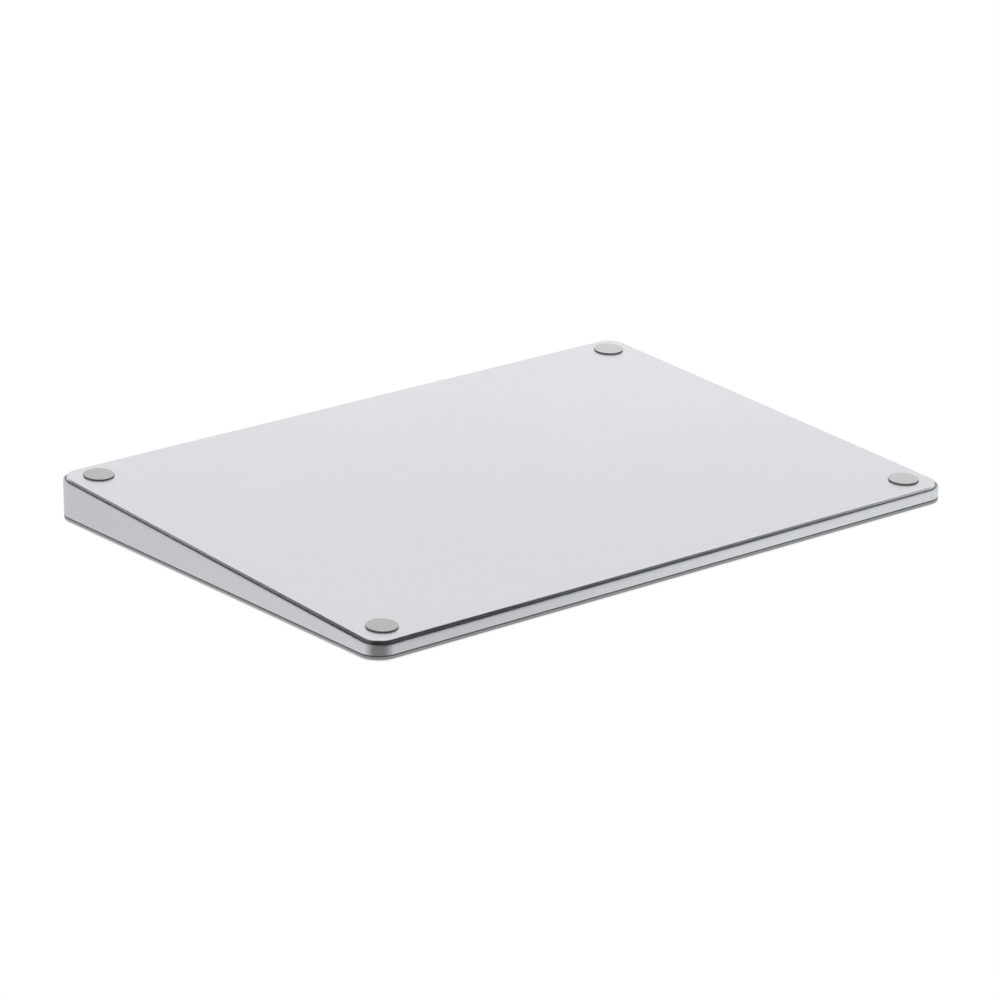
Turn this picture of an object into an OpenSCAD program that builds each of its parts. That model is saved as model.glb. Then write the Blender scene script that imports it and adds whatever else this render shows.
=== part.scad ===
// Wedge-shaped wireless trackpad, in millimetres.
// It stands on its four feet at z = 0, with its front edge towards -Y and its right side towards +X.
// The frame, the touch plate and all inner pieces are drawn in the plane of the sloping top:
// on_slope() seats them, and their heights are depths below the outer face of the glass.

/* [Body] */
// overall width
body_w = 160; // [156:1:170]
// depth, measured along the sloping top
body_d = 114.9; // [112:0.1:122]
// height of the top's front edge above the desk
front_h = 4.9; // [4.8:0.1:5.4]
// height of the top's rear edge above the desk
rear_h = 10.9; // [10.6:0.1:11.8]
// corner radius seen from above
corner_r = 5; // [4.5:0.1:7]

/* [Touch glass] */
// thickness of the glass
glass_t = 1.1; // [1:0.05:1.2]
// radius of the rounded edge round the touch face
glass_edge_r = 0.6; // [0.3:0.05:0.7]
// thickness of the film that bonds the sensor board to the glass
bond_t = 0.1; // [0.05:0.01:0.15]
// thickness of the touch sensor board
touch_t = 0.7; // [0.6:0.05:0.8]
// how far the touch plate sinks when it is pressed
press_travel = 0.15; // [0.1:0.01:0.2]
// gap that is left between the glass and the wall when it is pressed
press_spare = 0.15; // [0.1:0.01:0.2]
// how far the touch plate is shaken to each side
shake_travel = 0.1; // [0.05:0.01:0.15]

/* [Frame] */
// thickness of the wall
wall_t = 2.4; // [2.2:0.1:2.8]
// thickness of the rim outside the cover's channel
rim_t = 0.45; // [0.4:0.05:0.8]
// radius of the curve that draws the wall in towards its rim
rim_curve_r = 6; // [4:0.5:10]
// height of that curve above the rim
rim_curve_h = 1; // [0.7:0.05:1.2]
// thickness of the deck that carries the inner pieces
deck_t = 0.7; // [0.6:0.05:0.8]
// space that is left round the touch board when it is shaken
room_spare = 0.4; // [0.3:0.05:0.6]

/* [Bottom cover] */
// sheet thickness of the cover
cover_t = 0.7; // [0.5:0.05:0.75]
// outer radius of the cover's rolled edge
cover_edge_r = 0.8; // [0.76:0.02:0.95]
// how far the cover stands proud of the rim
cover_drop = 1; // [0.95:0.05:1.15]
// how far the cover's lip goes into its channel
lip_in = 0.4; // [0.3:0.05:0.5]
// gap between the lip and the rim
cover_gap = 0.25; // [0.2:0.01:0.3]
// thickness of the adhesive above the lip
seal_t = 0.15; // [0.1:0.01:0.2]
// play of the lip at the channel's inner side
lip_play = 0.1; // [0.05:0.01:0.15]

/* [Feet] */
// diameter of a foot
foot_d = 6.8; // [6:0.1:9]
// height of a foot below the cover
foot_h = 0.4; // [0.35:0.05:0.5]
// depth of the seat that takes a foot
foot_seat = 0.2; // [0.1:0.05:0.25]
// radius of a foot's lower edge
foot_edge_r = 0.15; // [0.1:0.01:0.2]
// distance of the feet from the sides
foot_in_x = 7.1; // [6.5:0.1:12]
// distance of the feet from the front and rear
foot_in_y = 6.9; // [6.5:0.1:12]

/* [Force sensors] */
// thickness of a flexure plate
flexure_t = 0.4; // [0.35:0.05:0.5]
// length of a flexure plate across the body
flexure_l = 23; // [22:0.5:25]
// width of a flexure plate from front to rear
flexure_w = 16; // [15:0.5:17]
// length of the flexure's tongue
tongue_l = 13; // [11:0.5:13.5]
// width of the flexure's tongue
tongue_w = 8; // [7:0.5:8.5]
// slot round the tongue
tongue_slot = 0.8; // [0.5:0.1:1]
// distance of a flexure's middle from the side
flexure_in_x = 17; // [16.5:0.1:17.5]
// distance of a flexure's middle from the front or rear
flexure_in_y = 17; // [16:0.1:17.4]
// thickness of a gel pad
pad_t = 0.3; // [0.25:0.05:0.4]
// side of a gel pad
pad_s = 6; // [4:0.1:7]
// distance of a gel pad from the tongue's tip
pad_in = 0.3; // [0.2:0.1:1]
// distance of the tongue's root from the flexure's middle
root_in = 5; // [4.6:0.1:5.5]
// how far the flexure plate reaches further out than in
flexure_shift = 0.5; // [0.3:0.1:1]
// corner radius of a flexure plate
flexure_r = 2; // [1:0.1:3]
// distance of the flexure's screws from its middle, sideways
flexure_screw_x = 8; // [7.8:0.1:8.4]
// distance of the flexure's screws from its middle, front and rear
flexure_screw_y = 5; // [4.6:0.1:5.5]
// space round the tongue's slot in the deck
window_gap = 0.5; // [0.3:0.1:0.7]
// side of a strain gauge
gauge_s = 3; // [2.5:0.1:3.5]
// thickness of a strain gauge
gauge_t = 0.06; // [0.05:0.01:0.08]
// distance of a strain gauge from the tongue's root
gauge_in = 0.5; // [0.4:0.1:1]

/* [Haptic engine] */
// thickness of the iron core
core_t = 1.6; // [1.4:0.1:1.8]
// length of the core from front to rear
core_l = 30; // [28:0.5:31]
// length of the core's legs
leg_l = 22; // [20:0.5:23]
// width of the middle leg
leg_w = 6; // [5:0.5:7]
// thickness of the core's back
back_w = 4; // [3.5:0.5:5]
// thickness of the winding on the wide sides of the leg
coil_t = 0.4; // [0.3:0.05:0.45]
// width of the winding at the leg's edges
coil_w = 3; // [2.5:0.1:3.3]
// air gap that is left between the legs and the plate they pull
air_spare = 0.3; // [0.2:0.05:0.5]
// thickness of the bracket
bracket_t = 0.5; // [0.4:0.05:0.6]
// width of the bracket round its opening
bracket_rim = 6; // [5:0.5:6.5]
// depth of the core below the deck's upper face
core_sink = 0.4; // [0.35:0.05:0.5]
// distance of the core's back from the middle of the body
core_back = 12; // [11:0.5:13]
// width of the two end legs
end_leg_w = 4; // [3.5:0.1:4.3]
// bare length of the middle leg at each end of the winding
leg_bare = 1; // [0.5:0.1:2]
// width of the iron plate's bar
plate_w = 4; // [3:0.1:4.5]
// width of the iron plate's flange
flange_w = 6.6; // [6:0.1:7]
// thickness of the iron plate's flange
flange_t = 0.4; // [0.3:0.05:0.45]
// space beside the iron plate in the bracket's opening
plate_room = 3.1; // [2.8:0.1:3.5]
// space round the core in the deck's opening
core_room = 1; // [0.6:0.1:1.5]
// distance between the bracket and the battery
haptic_gap = 2.5; // [1.5:0.1:3]

/* [Battery] */
// depth of the cell from front to rear
cell_d = 30; // [26:0.5:31]
// thickness of the cell
cell_t = 3.4; // [3:0.1:3.5]
// corner radius of the cell
cell_corner_r = 1.5; // [1:0.1:2]
// space between the cell and the cable on its left
cell_gap_left = 3; // [2:0.1:5]
// space between the cell and the cable on its right
cell_gap_right = 2; // [1:0.1:4]
// thickness of the cell's adhesive strips
tape_t = 0.15; // [0.1:0.01:0.2]
// distance of the adhesive strips from the cell's ends
tape_in = 3; // [1:0.5:6]
// width of an adhesive strip
tape_w = 6; // [4:0.5:8]
// width of the protection board
guard_w = 24; // [20:0.5:26]
// depth of the protection board from front to rear
guard_d = 1.7; // [1.5:0.1:2]
// thickness of the protection board
guard_t = 0.8; // [0.6:0.1:1]
// depth of the protection board below the cell's upper face
guard_sink = 1.3; // [1:0.1:1.5]
// space between the protection board and the main board
guard_gap = 0.45; // [0.3:0.05:0.6]

/* [Main board] */
// how far the main board reaches beyond the force sensors' cables
main_over = 4; // [3:0.1:6]
// depth of the main board from front to rear
main_d = 13; // [12.8:0.1:13.4]
// thickness of the main board
main_t = 0.8; // [0.6:0.05:1]
// corner radius of the main board
main_r = 1; // [0.5:0.1:2]
// space between the main board and the rear wall
main_gap = 0.4; // [0.3:0.05:0.5]
// radius of the posts that hold the main board
post_r = 1.8; // [1.6:0.05:1.9]
// distance of the posts from the main board's front edge
post_in_y = 3; // [2.8:0.1:3.2]
// sideways place of the two inner posts
post_in = 16; // [15:0.5:17]
// space between the outer posts and the force sensors' cables
post_gap = 0.7; // [0.5:0.1:0.8]
// length of the screw hole in a post
post_grip = 2.2; // [1.8:0.1:2.6]
// height of a shield can
can_h = 1.4; // [1:0.1:1.8]
// sheet thickness of a shield can
can_sheet = 0.15; // [0.1:0.01:0.2]
// length of the first shield can
can_l = 12; // [8:0.5:13]
// width of the first shield can
can_w = 7; // [6:0.1:7.2]
// width of the second shield can
can_2_w = 6; // [5:0.1:6.4]
// distance of the shield cans from the main board's rear edge
can_in = 0.5; // [0.3:0.1:0.7]
// space beside the first shield can, the inlet and the first chip
can_gap = 3; // [2.5:0.1:3.5]
// space between the switch and the second shield can
can_2_gap = 5; // [3:0.1:6]
// distance of the second shield can from the board's end
can_2_in = 3; // [2:0.1:5]
// length of a chip
chip_l = 6; // [4:0.1:6.4]
// width of a chip
chip_w = 4; // [3:0.1:4.4]
// height of a chip
chip_h = 0.8; // [0.5:0.05:1]
// side of the touch controller
touch_chip_s = 9; // [7:0.5:10]
// height of the chips below the touch board
touch_chip_h = 0.45; // [0.3:0.01:0.48]
// distance between the chips below the touch board
touch_chip_pitch = 20; // [15:1:25]
// length of the antenna block
antenna_l = 16; // [12:0.5:17]
// width of the antenna block
antenna_w = 5; // [4:0.1:5.2]
// height of the antenna block
antenna_h = 2.4; // [2:0.1:2.8]
// distance of the antenna block from the board's rear edge
antenna_in = 0.5; // [0.3:0.1:0.6]
// width of the antenna's strips
radiator_w = 1; // [0.6:0.1:1.5]
// thickness of the antenna's strips
radiator_t = 0.1; // [0.05:0.01:0.15]
// space round the antenna in the deck's opening
antenna_room = 0.2; // [0.1:0.05:0.3]

/* [Flat cables] */
// thickness of the flat cables
cable_t = 0.12; // [0.1:0.01:0.14]
// width of the force sensors' cables
strip_w = 3; // [2:0.1:3.2]
// distance of the force sensors' cables from the tongue's root
strip_in = 7.5; // [7.2:0.1:7.7]
// straight end of the force sensors' cables on the main board
strip_end = 0.6; // [0.3:0.1:0.8]
// width of the haptic engine's cable
aisle_w = 3; // [2:0.1:3.2]
// space between the haptic engine's cable and the outer post
aisle_gap = 1.7; // [1.6:0.1:2]
// width of the battery's cable
lead_w = 6; // [4:0.5:6.5]
// width of the touch board's plug
plug_w = 12; // [10:0.5:12.5]
// depth of the touch board's plug from front to rear
plug_d = 2.5; // [2:0.1:2.6]
// height of the touch board's plug
plug_h = 0.65; // [0.6:0.01:0.68]
// distance of the plug's mouth from the rear wall
plug_in = 3.8; // [3.6:0.1:4]
// space between the plug and the inner post
plug_gap = 2.2; // [1.5:0.1:3]
// depth of the touch cable below the touch board
touch_cable_in = 0.45; // [0.4:0.01:0.5]
// straight part of the touch cable
touch_cable_run = 4.4; // [4:0.1:4.6]
// space round the touch cable in the deck's opening
cable_room = 1; // [0.6:0.1:1.3]
// height of the sockets on the main board
socket_h = 1; // [0.8:0.05:1.2]
// depth of the sockets from front to rear
socket_d = 2.2; // [1.8:0.1:2.4]
// how much wider a socket is than its cable
socket_more = 1; // [0.6:0.1:1.2]
// height of a cable above the main board at its socket
socket_cable = 0.45; // [0.3:0.05:0.6]
// distance of the front sockets behind the posts' middle
socket_in = 0.4; // [0.2:0.1:0.6]
// length of the haptic cable's step
aisle_step = 3; // [2.5:0.1:3.5]

/* [Charging inlet] */
// depth of the inlet's middle below the glass
inlet_z = 5.5; // [5.3:0.05:5.6]
// inner width of the inlet's mouth
inlet_w = 8.34; // [8.3:0.02:8.6]
// inner height of the inlet's mouth
inlet_h = 2.56; // [2.5:0.02:2.7]
// wall thickness of the shell
shell_t = 0.3; // [0.2:0.02:0.32]
// length of the shell
shell_l = 7.3; // [6.8:0.1:7.6]
// width of the contact tongue
blade_w = 6.69; // [6.4:0.01:6.8]
// thickness of the contact tongue
blade_t = 0.7; // [0.6:0.02:0.8]
// distance of the tongue's tip behind the mouth
blade_in = 1; // [0.8:0.05:1.5]
// distance of the mouth behind the rear wall's face
mouth_in = 0.25; // [0.15:0.05:0.4]
// gap between the shell and the rear wall
inlet_gap = 0.1; // [0.05:0.01:0.15]
// length of the block that closes the shell
seat_l = 1.2; // [0.8:0.1:1.5]
// contacts on each face of the tongue
contact_n = 12; // [8:1:12]
// distance between two contacts
contact_pitch = 0.5; // [0.4:0.01:0.52]
// width of a contact
contact_w = 0.25; // [0.2:0.01:0.3]
// thickness of a contact
contact_t = 0.04; // [0.03:0.01:0.06]
// length of a contact
contact_l = 3.4; // [3:0.1:4]
// distance of the contacts from the tongue's tip
contact_in = 0.4; // [0.3:0.05:0.6]

/* [Power switch] */
// sideways position of the switch
switch_x = 28; // [27:0.5:29]
// travel of the knob
switch_travel = 2.4; // [2:0.1:2.6]
// length of the knob
knob_l = 4.4; // [4:0.1:5]
// height of the knob
knob_h = 2.4; // [2.2:0.05:2.6]
// thickness of the knob
knob_t = 0.5; // [0.4:0.05:0.55]
// depth of the recess that the knob slides in
recess_t = 0.7; // [0.65:0.05:0.8]
// running gap round the knob
knob_gap = 0.2; // [0.1:0.05:0.3]
// running gap behind the knob and before the carrier
slider_gap = 0.1; // [0.08:0.01:0.12]
// width of a grip groove
groove_w = 0.25; // [0.2:0.01:0.3]
// depth of a grip groove
groove_t = 0.15; // [0.1:0.01:0.2]
// distance between two grip grooves
groove_pitch = 0.6; // [0.5:0.05:0.8]
// length of a grip groove
groove_l = 1.44; // [1:0.02:1.6]
// width of the stem
stem_w = 2; // [1.8:0.1:2.2]
// height of the stem
stem_h = 1.5; // [1.2:0.05:1.6]
// how far the carrier covers the slot's ends
carrier_cover = 0.4; // [0.2:0.05:0.6]
// height of the carrier
carrier_h = 3; // [2.6:0.1:3.2]
// thickness of the carrier
carrier_t = 0.45; // [0.4:0.01:0.48]
// depth of the carrier's pocket inside the rear wall
carrier_pocket = 0.6; // [0.55:0.01:0.65]
// running gap round the carrier in its pocket
pocket_gap = 0.3; // [0.2:0.05:0.4]
// thickness of the green film
marker_t = 0.05; // [0.03:0.01:0.07]
// distance of the green film from the carrier's end
marker_in = 0.1; // [0.05:0.05:0.3]
// length of the fork's prongs
fork_l = 0.9; // [0.8:0.05:1]
// width of a prong
prong_w = 0.8; // [0.6:0.05:0.9]
// height of a prong
prong_h = 2.6; // [2:0.1:2.6]
// gap between the lever and a prong
fork_gap = 0.05; // [0.03:0.01:0.08]
// width of the lever
lever_w = 1.2; // [1:0.05:1.3]
// height of the lever
lever_h = 1; // [0.8:0.05:1.2]
// how far the lever reaches into the switch body
lever_in = 0.7; // [0.5:0.05:0.8]
// running gap round the lever in the switch body
lever_gap = 0.2; // [0.15:0.05:0.3]
// length of the switch body
switch_l = 8; // [7:0.1:9]
// depth of the switch body from front to rear
switch_d = 3.6; // [3:0.1:4]
// height of the switch body
switch_h = 2.8; // [2.6:0.1:3]

/* [Screws] */
// shank diameter of the screws
screw_d = 1.4; // [1.2:0.1:1.6]
// head diameter of the screws
head_d = 2.6; // [2.4:0.1:2.8]
// head height of the screws
head_t = 0.5; // [0.4:0.05:0.55]
// radial clearance of a screw in its hole
screw_gap = 0.03; // [0.02:0.01:0.05]
// distance of a screw's tip from the far face
tip_in = 0.05; // [0.03:0.01:0.1]
// distance of a board screw's tip from the end of its hole
post_spare = 0.3; // [0.2:0.05:0.5]
// across the corners of the screws' hexagon socket
hex_d = 1; // [0.8:0.05:1.1]
// depth of the screws' hexagon socket
hex_t = 0.25; // [0.2:0.01:0.3]

/* [Hidden] */
$fn = 48;
// overlap of joined shapes, and overshoot of cuts
eps = 0.02;
over = 1;

// slope of the top, and the height of the top's middle
wedge = asin((rear_h - front_h) / body_d);
mid_h = (front_h + rear_h) / 2;

// heights in the standing frame
rim_z = foot_h + cover_drop;
channel_z = rim_z + lip_in + seal_t;

// the rim is a level cut through the leaning wall
rim_front_depth = (front_h - rim_z) / cos(wedge);
rim_rear_depth = (rear_h - rim_z) / cos(wedge);
rim_d = body_d / cos(wedge);
slope_y = -(rim_rear_depth + glass_edge_r) * sin(wedge) / 2;
rim_y = slope_y + (rim_front_depth + rim_rear_depth) * sin(wedge) / 2;

// the curve towards the rim starts this far outside the wall, so that it runs out in the wall's face
rim_play = eps / 4;

// the cover lies inside the rim
cover_in = rim_t + cover_gap;
cover_w = body_w - 2 * cover_in;
cover_d = rim_d - 2 * cover_in;
cover_r = corner_r - cover_in;

// depths below the glass
wall_top = glass_t + press_travel + press_spare;
touch_top = glass_t + bond_t;
touch_bot = touch_top + touch_t;
flexure_top = touch_bot + pad_t;
deck_top = flexure_top + flexure_t;
deck_bot = deck_top + deck_t;
wall_reach = 2 * rear_h;

// room inside the wall, and the touch board in it
room_w = body_w - 2 * wall_t;
room_d = body_d - 2 * wall_t;
room_r = corner_r - wall_t;
room_gap = shake_travel + room_spare;
touch_w = room_w - 2 * room_gap;
touch_d = room_d - 2 * room_gap;
touch_r = room_r - room_gap;

// force sensors: the tongue starts behind the flexure's middle and points to the side wall
flexure_x = body_w / 2 - flexure_in_x;
flexure_y = body_d / 2 - flexure_in_y;
pad_x = tongue_l - root_in - pad_s / 2 - pad_in;
strip_x = -root_in - strip_in;
strip_out = flexure_x + strip_x;

// main board: the inlet stands on it
shell_w = inlet_w + 2 * shell_t;
shell_h = inlet_h + 2 * shell_t;
main_top = inlet_z + shell_h / 2;
main_w = 2 * (strip_out + strip_w / 2 + main_over);
main_rear = room_d / 2 - main_gap;
main_front = main_rear - main_d;
post_y = main_front + post_in_y;
post_out = strip_out - strip_w / 2 - post_gap - post_r;
socket_y = post_y + socket_in;
socket_z = main_top - socket_cable;
chip_x = -(shell_w / 2 + can_gap + chip_l / 2);
antenna_x = (antenna_l - main_w) / 2;
antenna_y = main_rear - antenna_in - antenna_w / 2;

// flat cables
plug_x = -(post_in + post_r + plug_gap + plug_w / 2);
plug_y = room_d / 2 - plug_in;
touch_cable_z = touch_bot + touch_cable_in;
cable_turn = (socket_z - touch_cable_z) / 2;
cable_turn_y = plug_y - touch_cable_run;
aisle_x = post_out - post_r - aisle_gap - aisle_w / 2;
aisle_z = deck_top + core_sink + core_t;

// battery, between the cables and in front of the main board
cell_left = cell_gap_left + strip_w / 2 - strip_out;
cell_right = aisle_x - aisle_w / 2 - cell_gap_right;
cell_w = cell_right - cell_left;
cell_x = (cell_right + cell_left) / 2;
cell_top = deck_bot + tape_t;
cell_rear = main_front - guard_gap - guard_d;
cell_y = cell_rear - cell_d / 2;
guard_x = -post_in / 2;
guard_top = cell_top + guard_sink;

// haptic engine, in front of the battery; its legs point to -X
haptic_y = cell_rear - cell_d - haptic_gap - bracket_rim - core_l / 2;
core_top = deck_top + core_sink;
leg_end = core_back - leg_l;
air_gap = shake_travel + air_spare;
plate_x = leg_end - air_gap - plate_w / 2;
plate_l = core_l - 2 * core_room;
haptic_left = leg_end - air_gap - plate_w - plate_room;
haptic_right = core_back + back_w;

// power switch: drawn with the knob at its off end
switch_z = inlet_z;
slider_x = switch_x - switch_travel / 2;
knob_in = recess_t - knob_t - slider_gap;
stem_slot_l = stem_w + switch_travel + 2 * knob_gap;
stem_slot_h = stem_h + 2 * knob_gap;
carrier_l = stem_slot_l + switch_travel + 2 * carrier_cover;
carrier_in = wall_t - carrier_pocket + slider_gap;
carrier_back = carrier_in + carrier_t;
prong_x = lever_w / 2 + fork_gap + prong_w / 2;
body_in = carrier_back + fork_l + slider_gap;

// helpers: placing
// seats what is drawn in the plane of the sloping top
module on_slope() {
    translate([0, slope_y, mid_h])
        rotate([wedge, 0, 0])
            children();
}

// gives a flat outline a thickness, its upper face at a depth below the glass
module layer(top, t) {
    translate([0, 0, -top - t])
        linear_extrude(t)
            children();
}

// box of a size [across, front to rear, thickness] round a point, its upper face at a depth
module box_at(at, size, top) {
    translate([at[0] - size[0] / 2, at[1] - size[1] / 2, -top - size[2]])
        cube(size);
}

// upright disc round a point, its upper face at a depth
module disc_at(at, r, top, t) {
    translate([at[0], at[1], -top - t])
        cylinder(r = r, h = t);
}

// pushes an outline [across, height] into the rear wall, from one distance behind its face
module into_rear(x, depth, from, t) {
    translate([x, body_d / 2 - from, -depth])
        rotate([90, 0, 0])
            linear_extrude(t)
                children();
}

// spreads an outline [front to rear, height] over a width
module across(x, w) {
    translate([x - w / 2, 0, 0])
        rotate([90, 0, 90])
            linear_extrude(w)
                children();
}

// puts a copy at each of the four flexures, its tongue towards the side wall
module at_flexures() {
    for (sx = [-1, 1])
        for (sy = [-1, 1])
            at_flexure(sx, sy) children();
}

module at_flexure(sx, sy) {
    translate([sx * flexure_x, sy * flexure_y, 0])
        rotate([0, 0, sx > 0 ? 0 : 180])
            children();
}

// helpers: shapes
// rectangle with round corners
module rounded(w, d, r) {
    square([w - 2 * r, d], center = true);
    square([w, d - 2 * r], center = true);
    for (sx = [-1, 1])
        for (sy = [-1, 1])
            translate([sx * (w / 2 - r), sy * (d / 2 - r)])
                circle(r);
}

// slot with half-round ends
module stadium(l, h) {
    square([l - h, h], center = true);
    for (s = [-1, 1])
        translate([s * (l - h) / 2, 0])
            circle(h / 2);
}

// runs a profile round a rounded rectangle; its x is the distance from the corner's centre
module sweep_round(w, d, r) {
    half_x = w / 2 - r;
    half_y = d / 2 - r;
    for (turn = [0, 180]) {
        rotate([0, 0, turn]) {
            translate([half_x, half_y, 0])
                rotate([90, 0, 0])
                    linear_extrude(2 * half_y)
                        children();
            translate([-half_x, half_y, 0])
                rotate([90, 0, 90])
                    linear_extrude(2 * half_x)
                        children();
            translate([half_x, half_y, 0])
                rotate_extrude(angle = 90)
                    children();
            translate([-half_x, half_y, 0])
                rotate([0, 0, 90])
                    rotate_extrude(angle = 90)
                        children();
        }
    }
}

// quarter of a ring, in the quadrant that turn picks
module quarter_ring(r_out, r_in, turn) {
    rotate(turn)
        intersection() {
            difference() {
                circle(r_out);
                if (r_in > 0) circle(r_in);
            }
            square(2 * r_out);
        }
}

// flat cable seen from the side, which steps down from one depth to another
module cable_step(y0, z0, y1, z1) {
    r = (z1 - z0) / 2;
    mid = (y0 + y1) / 2;
    translate([y0, -z0 - cable_t / 2])
        square([mid - r - y0, cable_t]);
    translate([mid - r, -z0 - r])
        quarter_ring(r + cable_t / 2, r - cable_t / 2, 0);
    translate([mid + r, -z1 + r])
        quarter_ring(r + cable_t / 2, r - cable_t / 2, 180);
    translate([mid + r, -z1 - cable_t / 2])
        square([y1 - mid - r, cable_t]);
}

// screw driven upwards: its head below a depth, its shank up to another, with a hexagon socket
module screw_at(at, seat, tip) {
    difference() {
        union() {
            disc_at(at, head_d / 2, seat, head_t);
            disc_at(at, screw_d / 2, tip, seat - tip + eps);
        }
        translate([at[0], at[1], -seat - head_t - eps])
            cylinder(r = hex_d / 2, h = hex_t + eps, $fn = 6);
    }
}

// frame
// posts that the main board is screwed to
function post_spots() = [for (x = [-post_out, -post_in, post_in, post_out]) [x, post_y]];

// screws of the haptic engine's bracket
function bracket_spots() = [for (x = [haptic_left - bracket_rim / 2, haptic_right + bracket_rim / 2])
    for (s = [-1, 1]) [x, haptic_y + s * (core_l / 2 + bracket_rim / 2)]];

// openings in the deck
module deck_openings() {
    depth = deck_t + 2 * eps;
    top = deck_top - eps;
    at_flexures()
        layer(top, depth)
            translate([-root_in - eps, -tongue_w / 2 - tongue_slot - window_gap])
                square([tongue_l + tongue_slot + window_gap, tongue_w + 2 * (tongue_slot + window_gap)]);
    at_flexures()
        for (s = [-1, 1])
            disc_at([-flexure_screw_x, s * flexure_screw_y], screw_d / 2 + screw_gap, top, depth);
    layer(top, depth)
        translate([haptic_left, haptic_y - core_l / 2 - core_room])
            square([haptic_right - haptic_left + core_room, core_l + 2 * core_room]);
    for (spot = bracket_spots())
        disc_at(spot, screw_d / 2 + screw_gap, top, depth);
    // way of the touch cable
    way_front = cable_turn_y - cable_turn - cable_room;
    way_rear = plug_y + plug_d + cable_room / 3;
    box_at([plug_x, (way_front + way_rear) / 2],
        [plug_w + 2 * cable_room, way_rear - way_front, depth], top);
    // window over the antenna
    box_at([antenna_x, antenna_y],
        [antenna_l + 2 * antenna_room, antenna_w + 2 * antenna_room, depth], top);
}

// inlet hole, knob recess, stem slot and carrier pocket in the rear wall
module rear_openings() {
    into_rear(0, inlet_z, -over, wall_t + 2 * over)
        stadium(shell_w + 2 * inlet_gap, shell_h + 2 * inlet_gap);
    into_rear(switch_x, switch_z, -over, over + recess_t)
        stadium(knob_l + switch_travel + 2 * knob_gap, knob_h + 2 * knob_gap);
    into_rear(switch_x, switch_z, 0, wall_t + over)
        square([stem_slot_l, stem_slot_h], center = true);
    into_rear(switch_x, switch_z, wall_t - carrier_pocket, carrier_pocket + over)
        square([carrier_l + switch_travel + 2 * pocket_gap, carrier_h + 2 * pocket_gap], center = true);
}

// channel that takes the cover's lip
module cover_channel() {
    r = cover_r + cover_gap;
    translate([0, rim_y, 0])
        sweep_round(cover_w + 2 * cover_gap, cover_d + 2 * cover_gap, r)
            translate([r - cover_gap - cover_t - lip_play, rim_z - over])
                square([cover_gap + cover_t + lip_play, channel_z - rim_z + over]);
}

// what is taken off to draw the wall in towards its rim: it follows the wall's outline, and it is
// sheared to keep one height above the level rim
module rim_curve() {
    on_slope()
        multmatrix([[1, 0, 0, 0], [0, 1, 0, 0], [0, -tan(wedge), 1, (rim_z - mid_h) / cos(wedge)]])
            sweep_round(body_w, body_d, corner_r)
                difference() {
                    translate([corner_r - rim_t, -over])
                        square([rim_t + over, rim_curve_h + over]);
                    translate([corner_r + rim_play - rim_curve_r, rim_curve_h])
                        circle(rim_curve_r);
                }
}

module frame() {
    color("silver")
        difference() {
            union() {
                difference() {
                    on_slope()
                        layer(wall_top, wall_reach)
                            rounded(body_w, body_d, corner_r);
                    on_slope()
                        layer(wall_top - over, deck_top - wall_top + over)
                            rounded(room_w, room_d, room_r);
                    on_slope()
                        layer(deck_bot, wall_reach)
                            rounded(room_w, room_d, room_r);
                }
                on_slope()
                    for (spot = post_spots())
                        disc_at(spot, post_r, deck_bot - eps, main_top - deck_bot + eps);
            }
            translate([-body_w, -body_d, rim_z - 2 * wall_reach])
                cube([2 * body_w, 2 * body_d, 2 * wall_reach]);
            cover_channel();
            rim_curve();
            on_slope()
                deck_openings();
            on_slope()
                rear_openings();
            on_slope()
                for (spot = post_spots())
                    disc_at(spot, screw_d / 2 + screw_gap, main_top - post_grip, post_grip + over);
        }
}

// bottom cover and feet
module cover_profile() {
    square([cover_r - cover_edge_r, cover_t]);
    translate([cover_r - cover_edge_r, cover_edge_r])
        quarter_ring(cover_edge_r, cover_edge_r - cover_t, -90);
    translate([cover_r - cover_t, cover_edge_r])
        square([cover_t, cover_drop + lip_in - cover_edge_r]);
}

function foot_spot(sx, sy) = [sx * (body_w / 2 - foot_in_x), rim_y + sy * (rim_d / 2 - foot_in_y)];

module bottom_cover() {
    color("gainsboro")
        difference() {
            translate([0, rim_y, foot_h]) {
                sweep_round(cover_w, cover_d, cover_r)
                    cover_profile();
                translate([cover_r - cover_w / 2, cover_r - cover_d / 2, 0])
                    cube([cover_w - 2 * cover_r, cover_d - 2 * cover_r, cover_t]);
            }
            for (sx = [-1, 1])
                for (sy = [-1, 1])
                    translate([foot_spot(sx, sy)[0], foot_spot(sx, sy)[1], foot_h - over])
                        cylinder(r = foot_d / 2 + eps, h = over + foot_seat);
        }
}

module cover_adhesive() {
    color("dimgray")
        translate([0, rim_y, rim_z + lip_in])
            sweep_round(cover_w, cover_d, cover_r)
                translate([cover_r - cover_t, 0])
                    square([cover_t, seal_t]);
}

module foot(sx, sy) {
    color("darkgray")
        translate(foot_spot(sx, sy))
            rotate_extrude() {
                square([foot_d / 2 - foot_edge_r, foot_h + foot_seat]);
                translate([0, foot_edge_r])
                    square([foot_d / 2, foot_h + foot_seat - foot_edge_r]);
                translate([foot_d / 2 - foot_edge_r, foot_edge_r])
                    circle(foot_edge_r);
            }
}

module foot_front_left() { foot(-1, -1); }
module foot_front_right() { foot(1, -1); }
module foot_rear_left() { foot(-1, 1); }
module foot_rear_right() { foot(1, 1); }

// touch plate
module glass_profile() {
    square([corner_r - glass_edge_r, glass_t]);
    square([corner_r, glass_t - glass_edge_r]);
    translate([corner_r - glass_edge_r, glass_t - glass_edge_r])
        circle(glass_edge_r);
}

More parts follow.
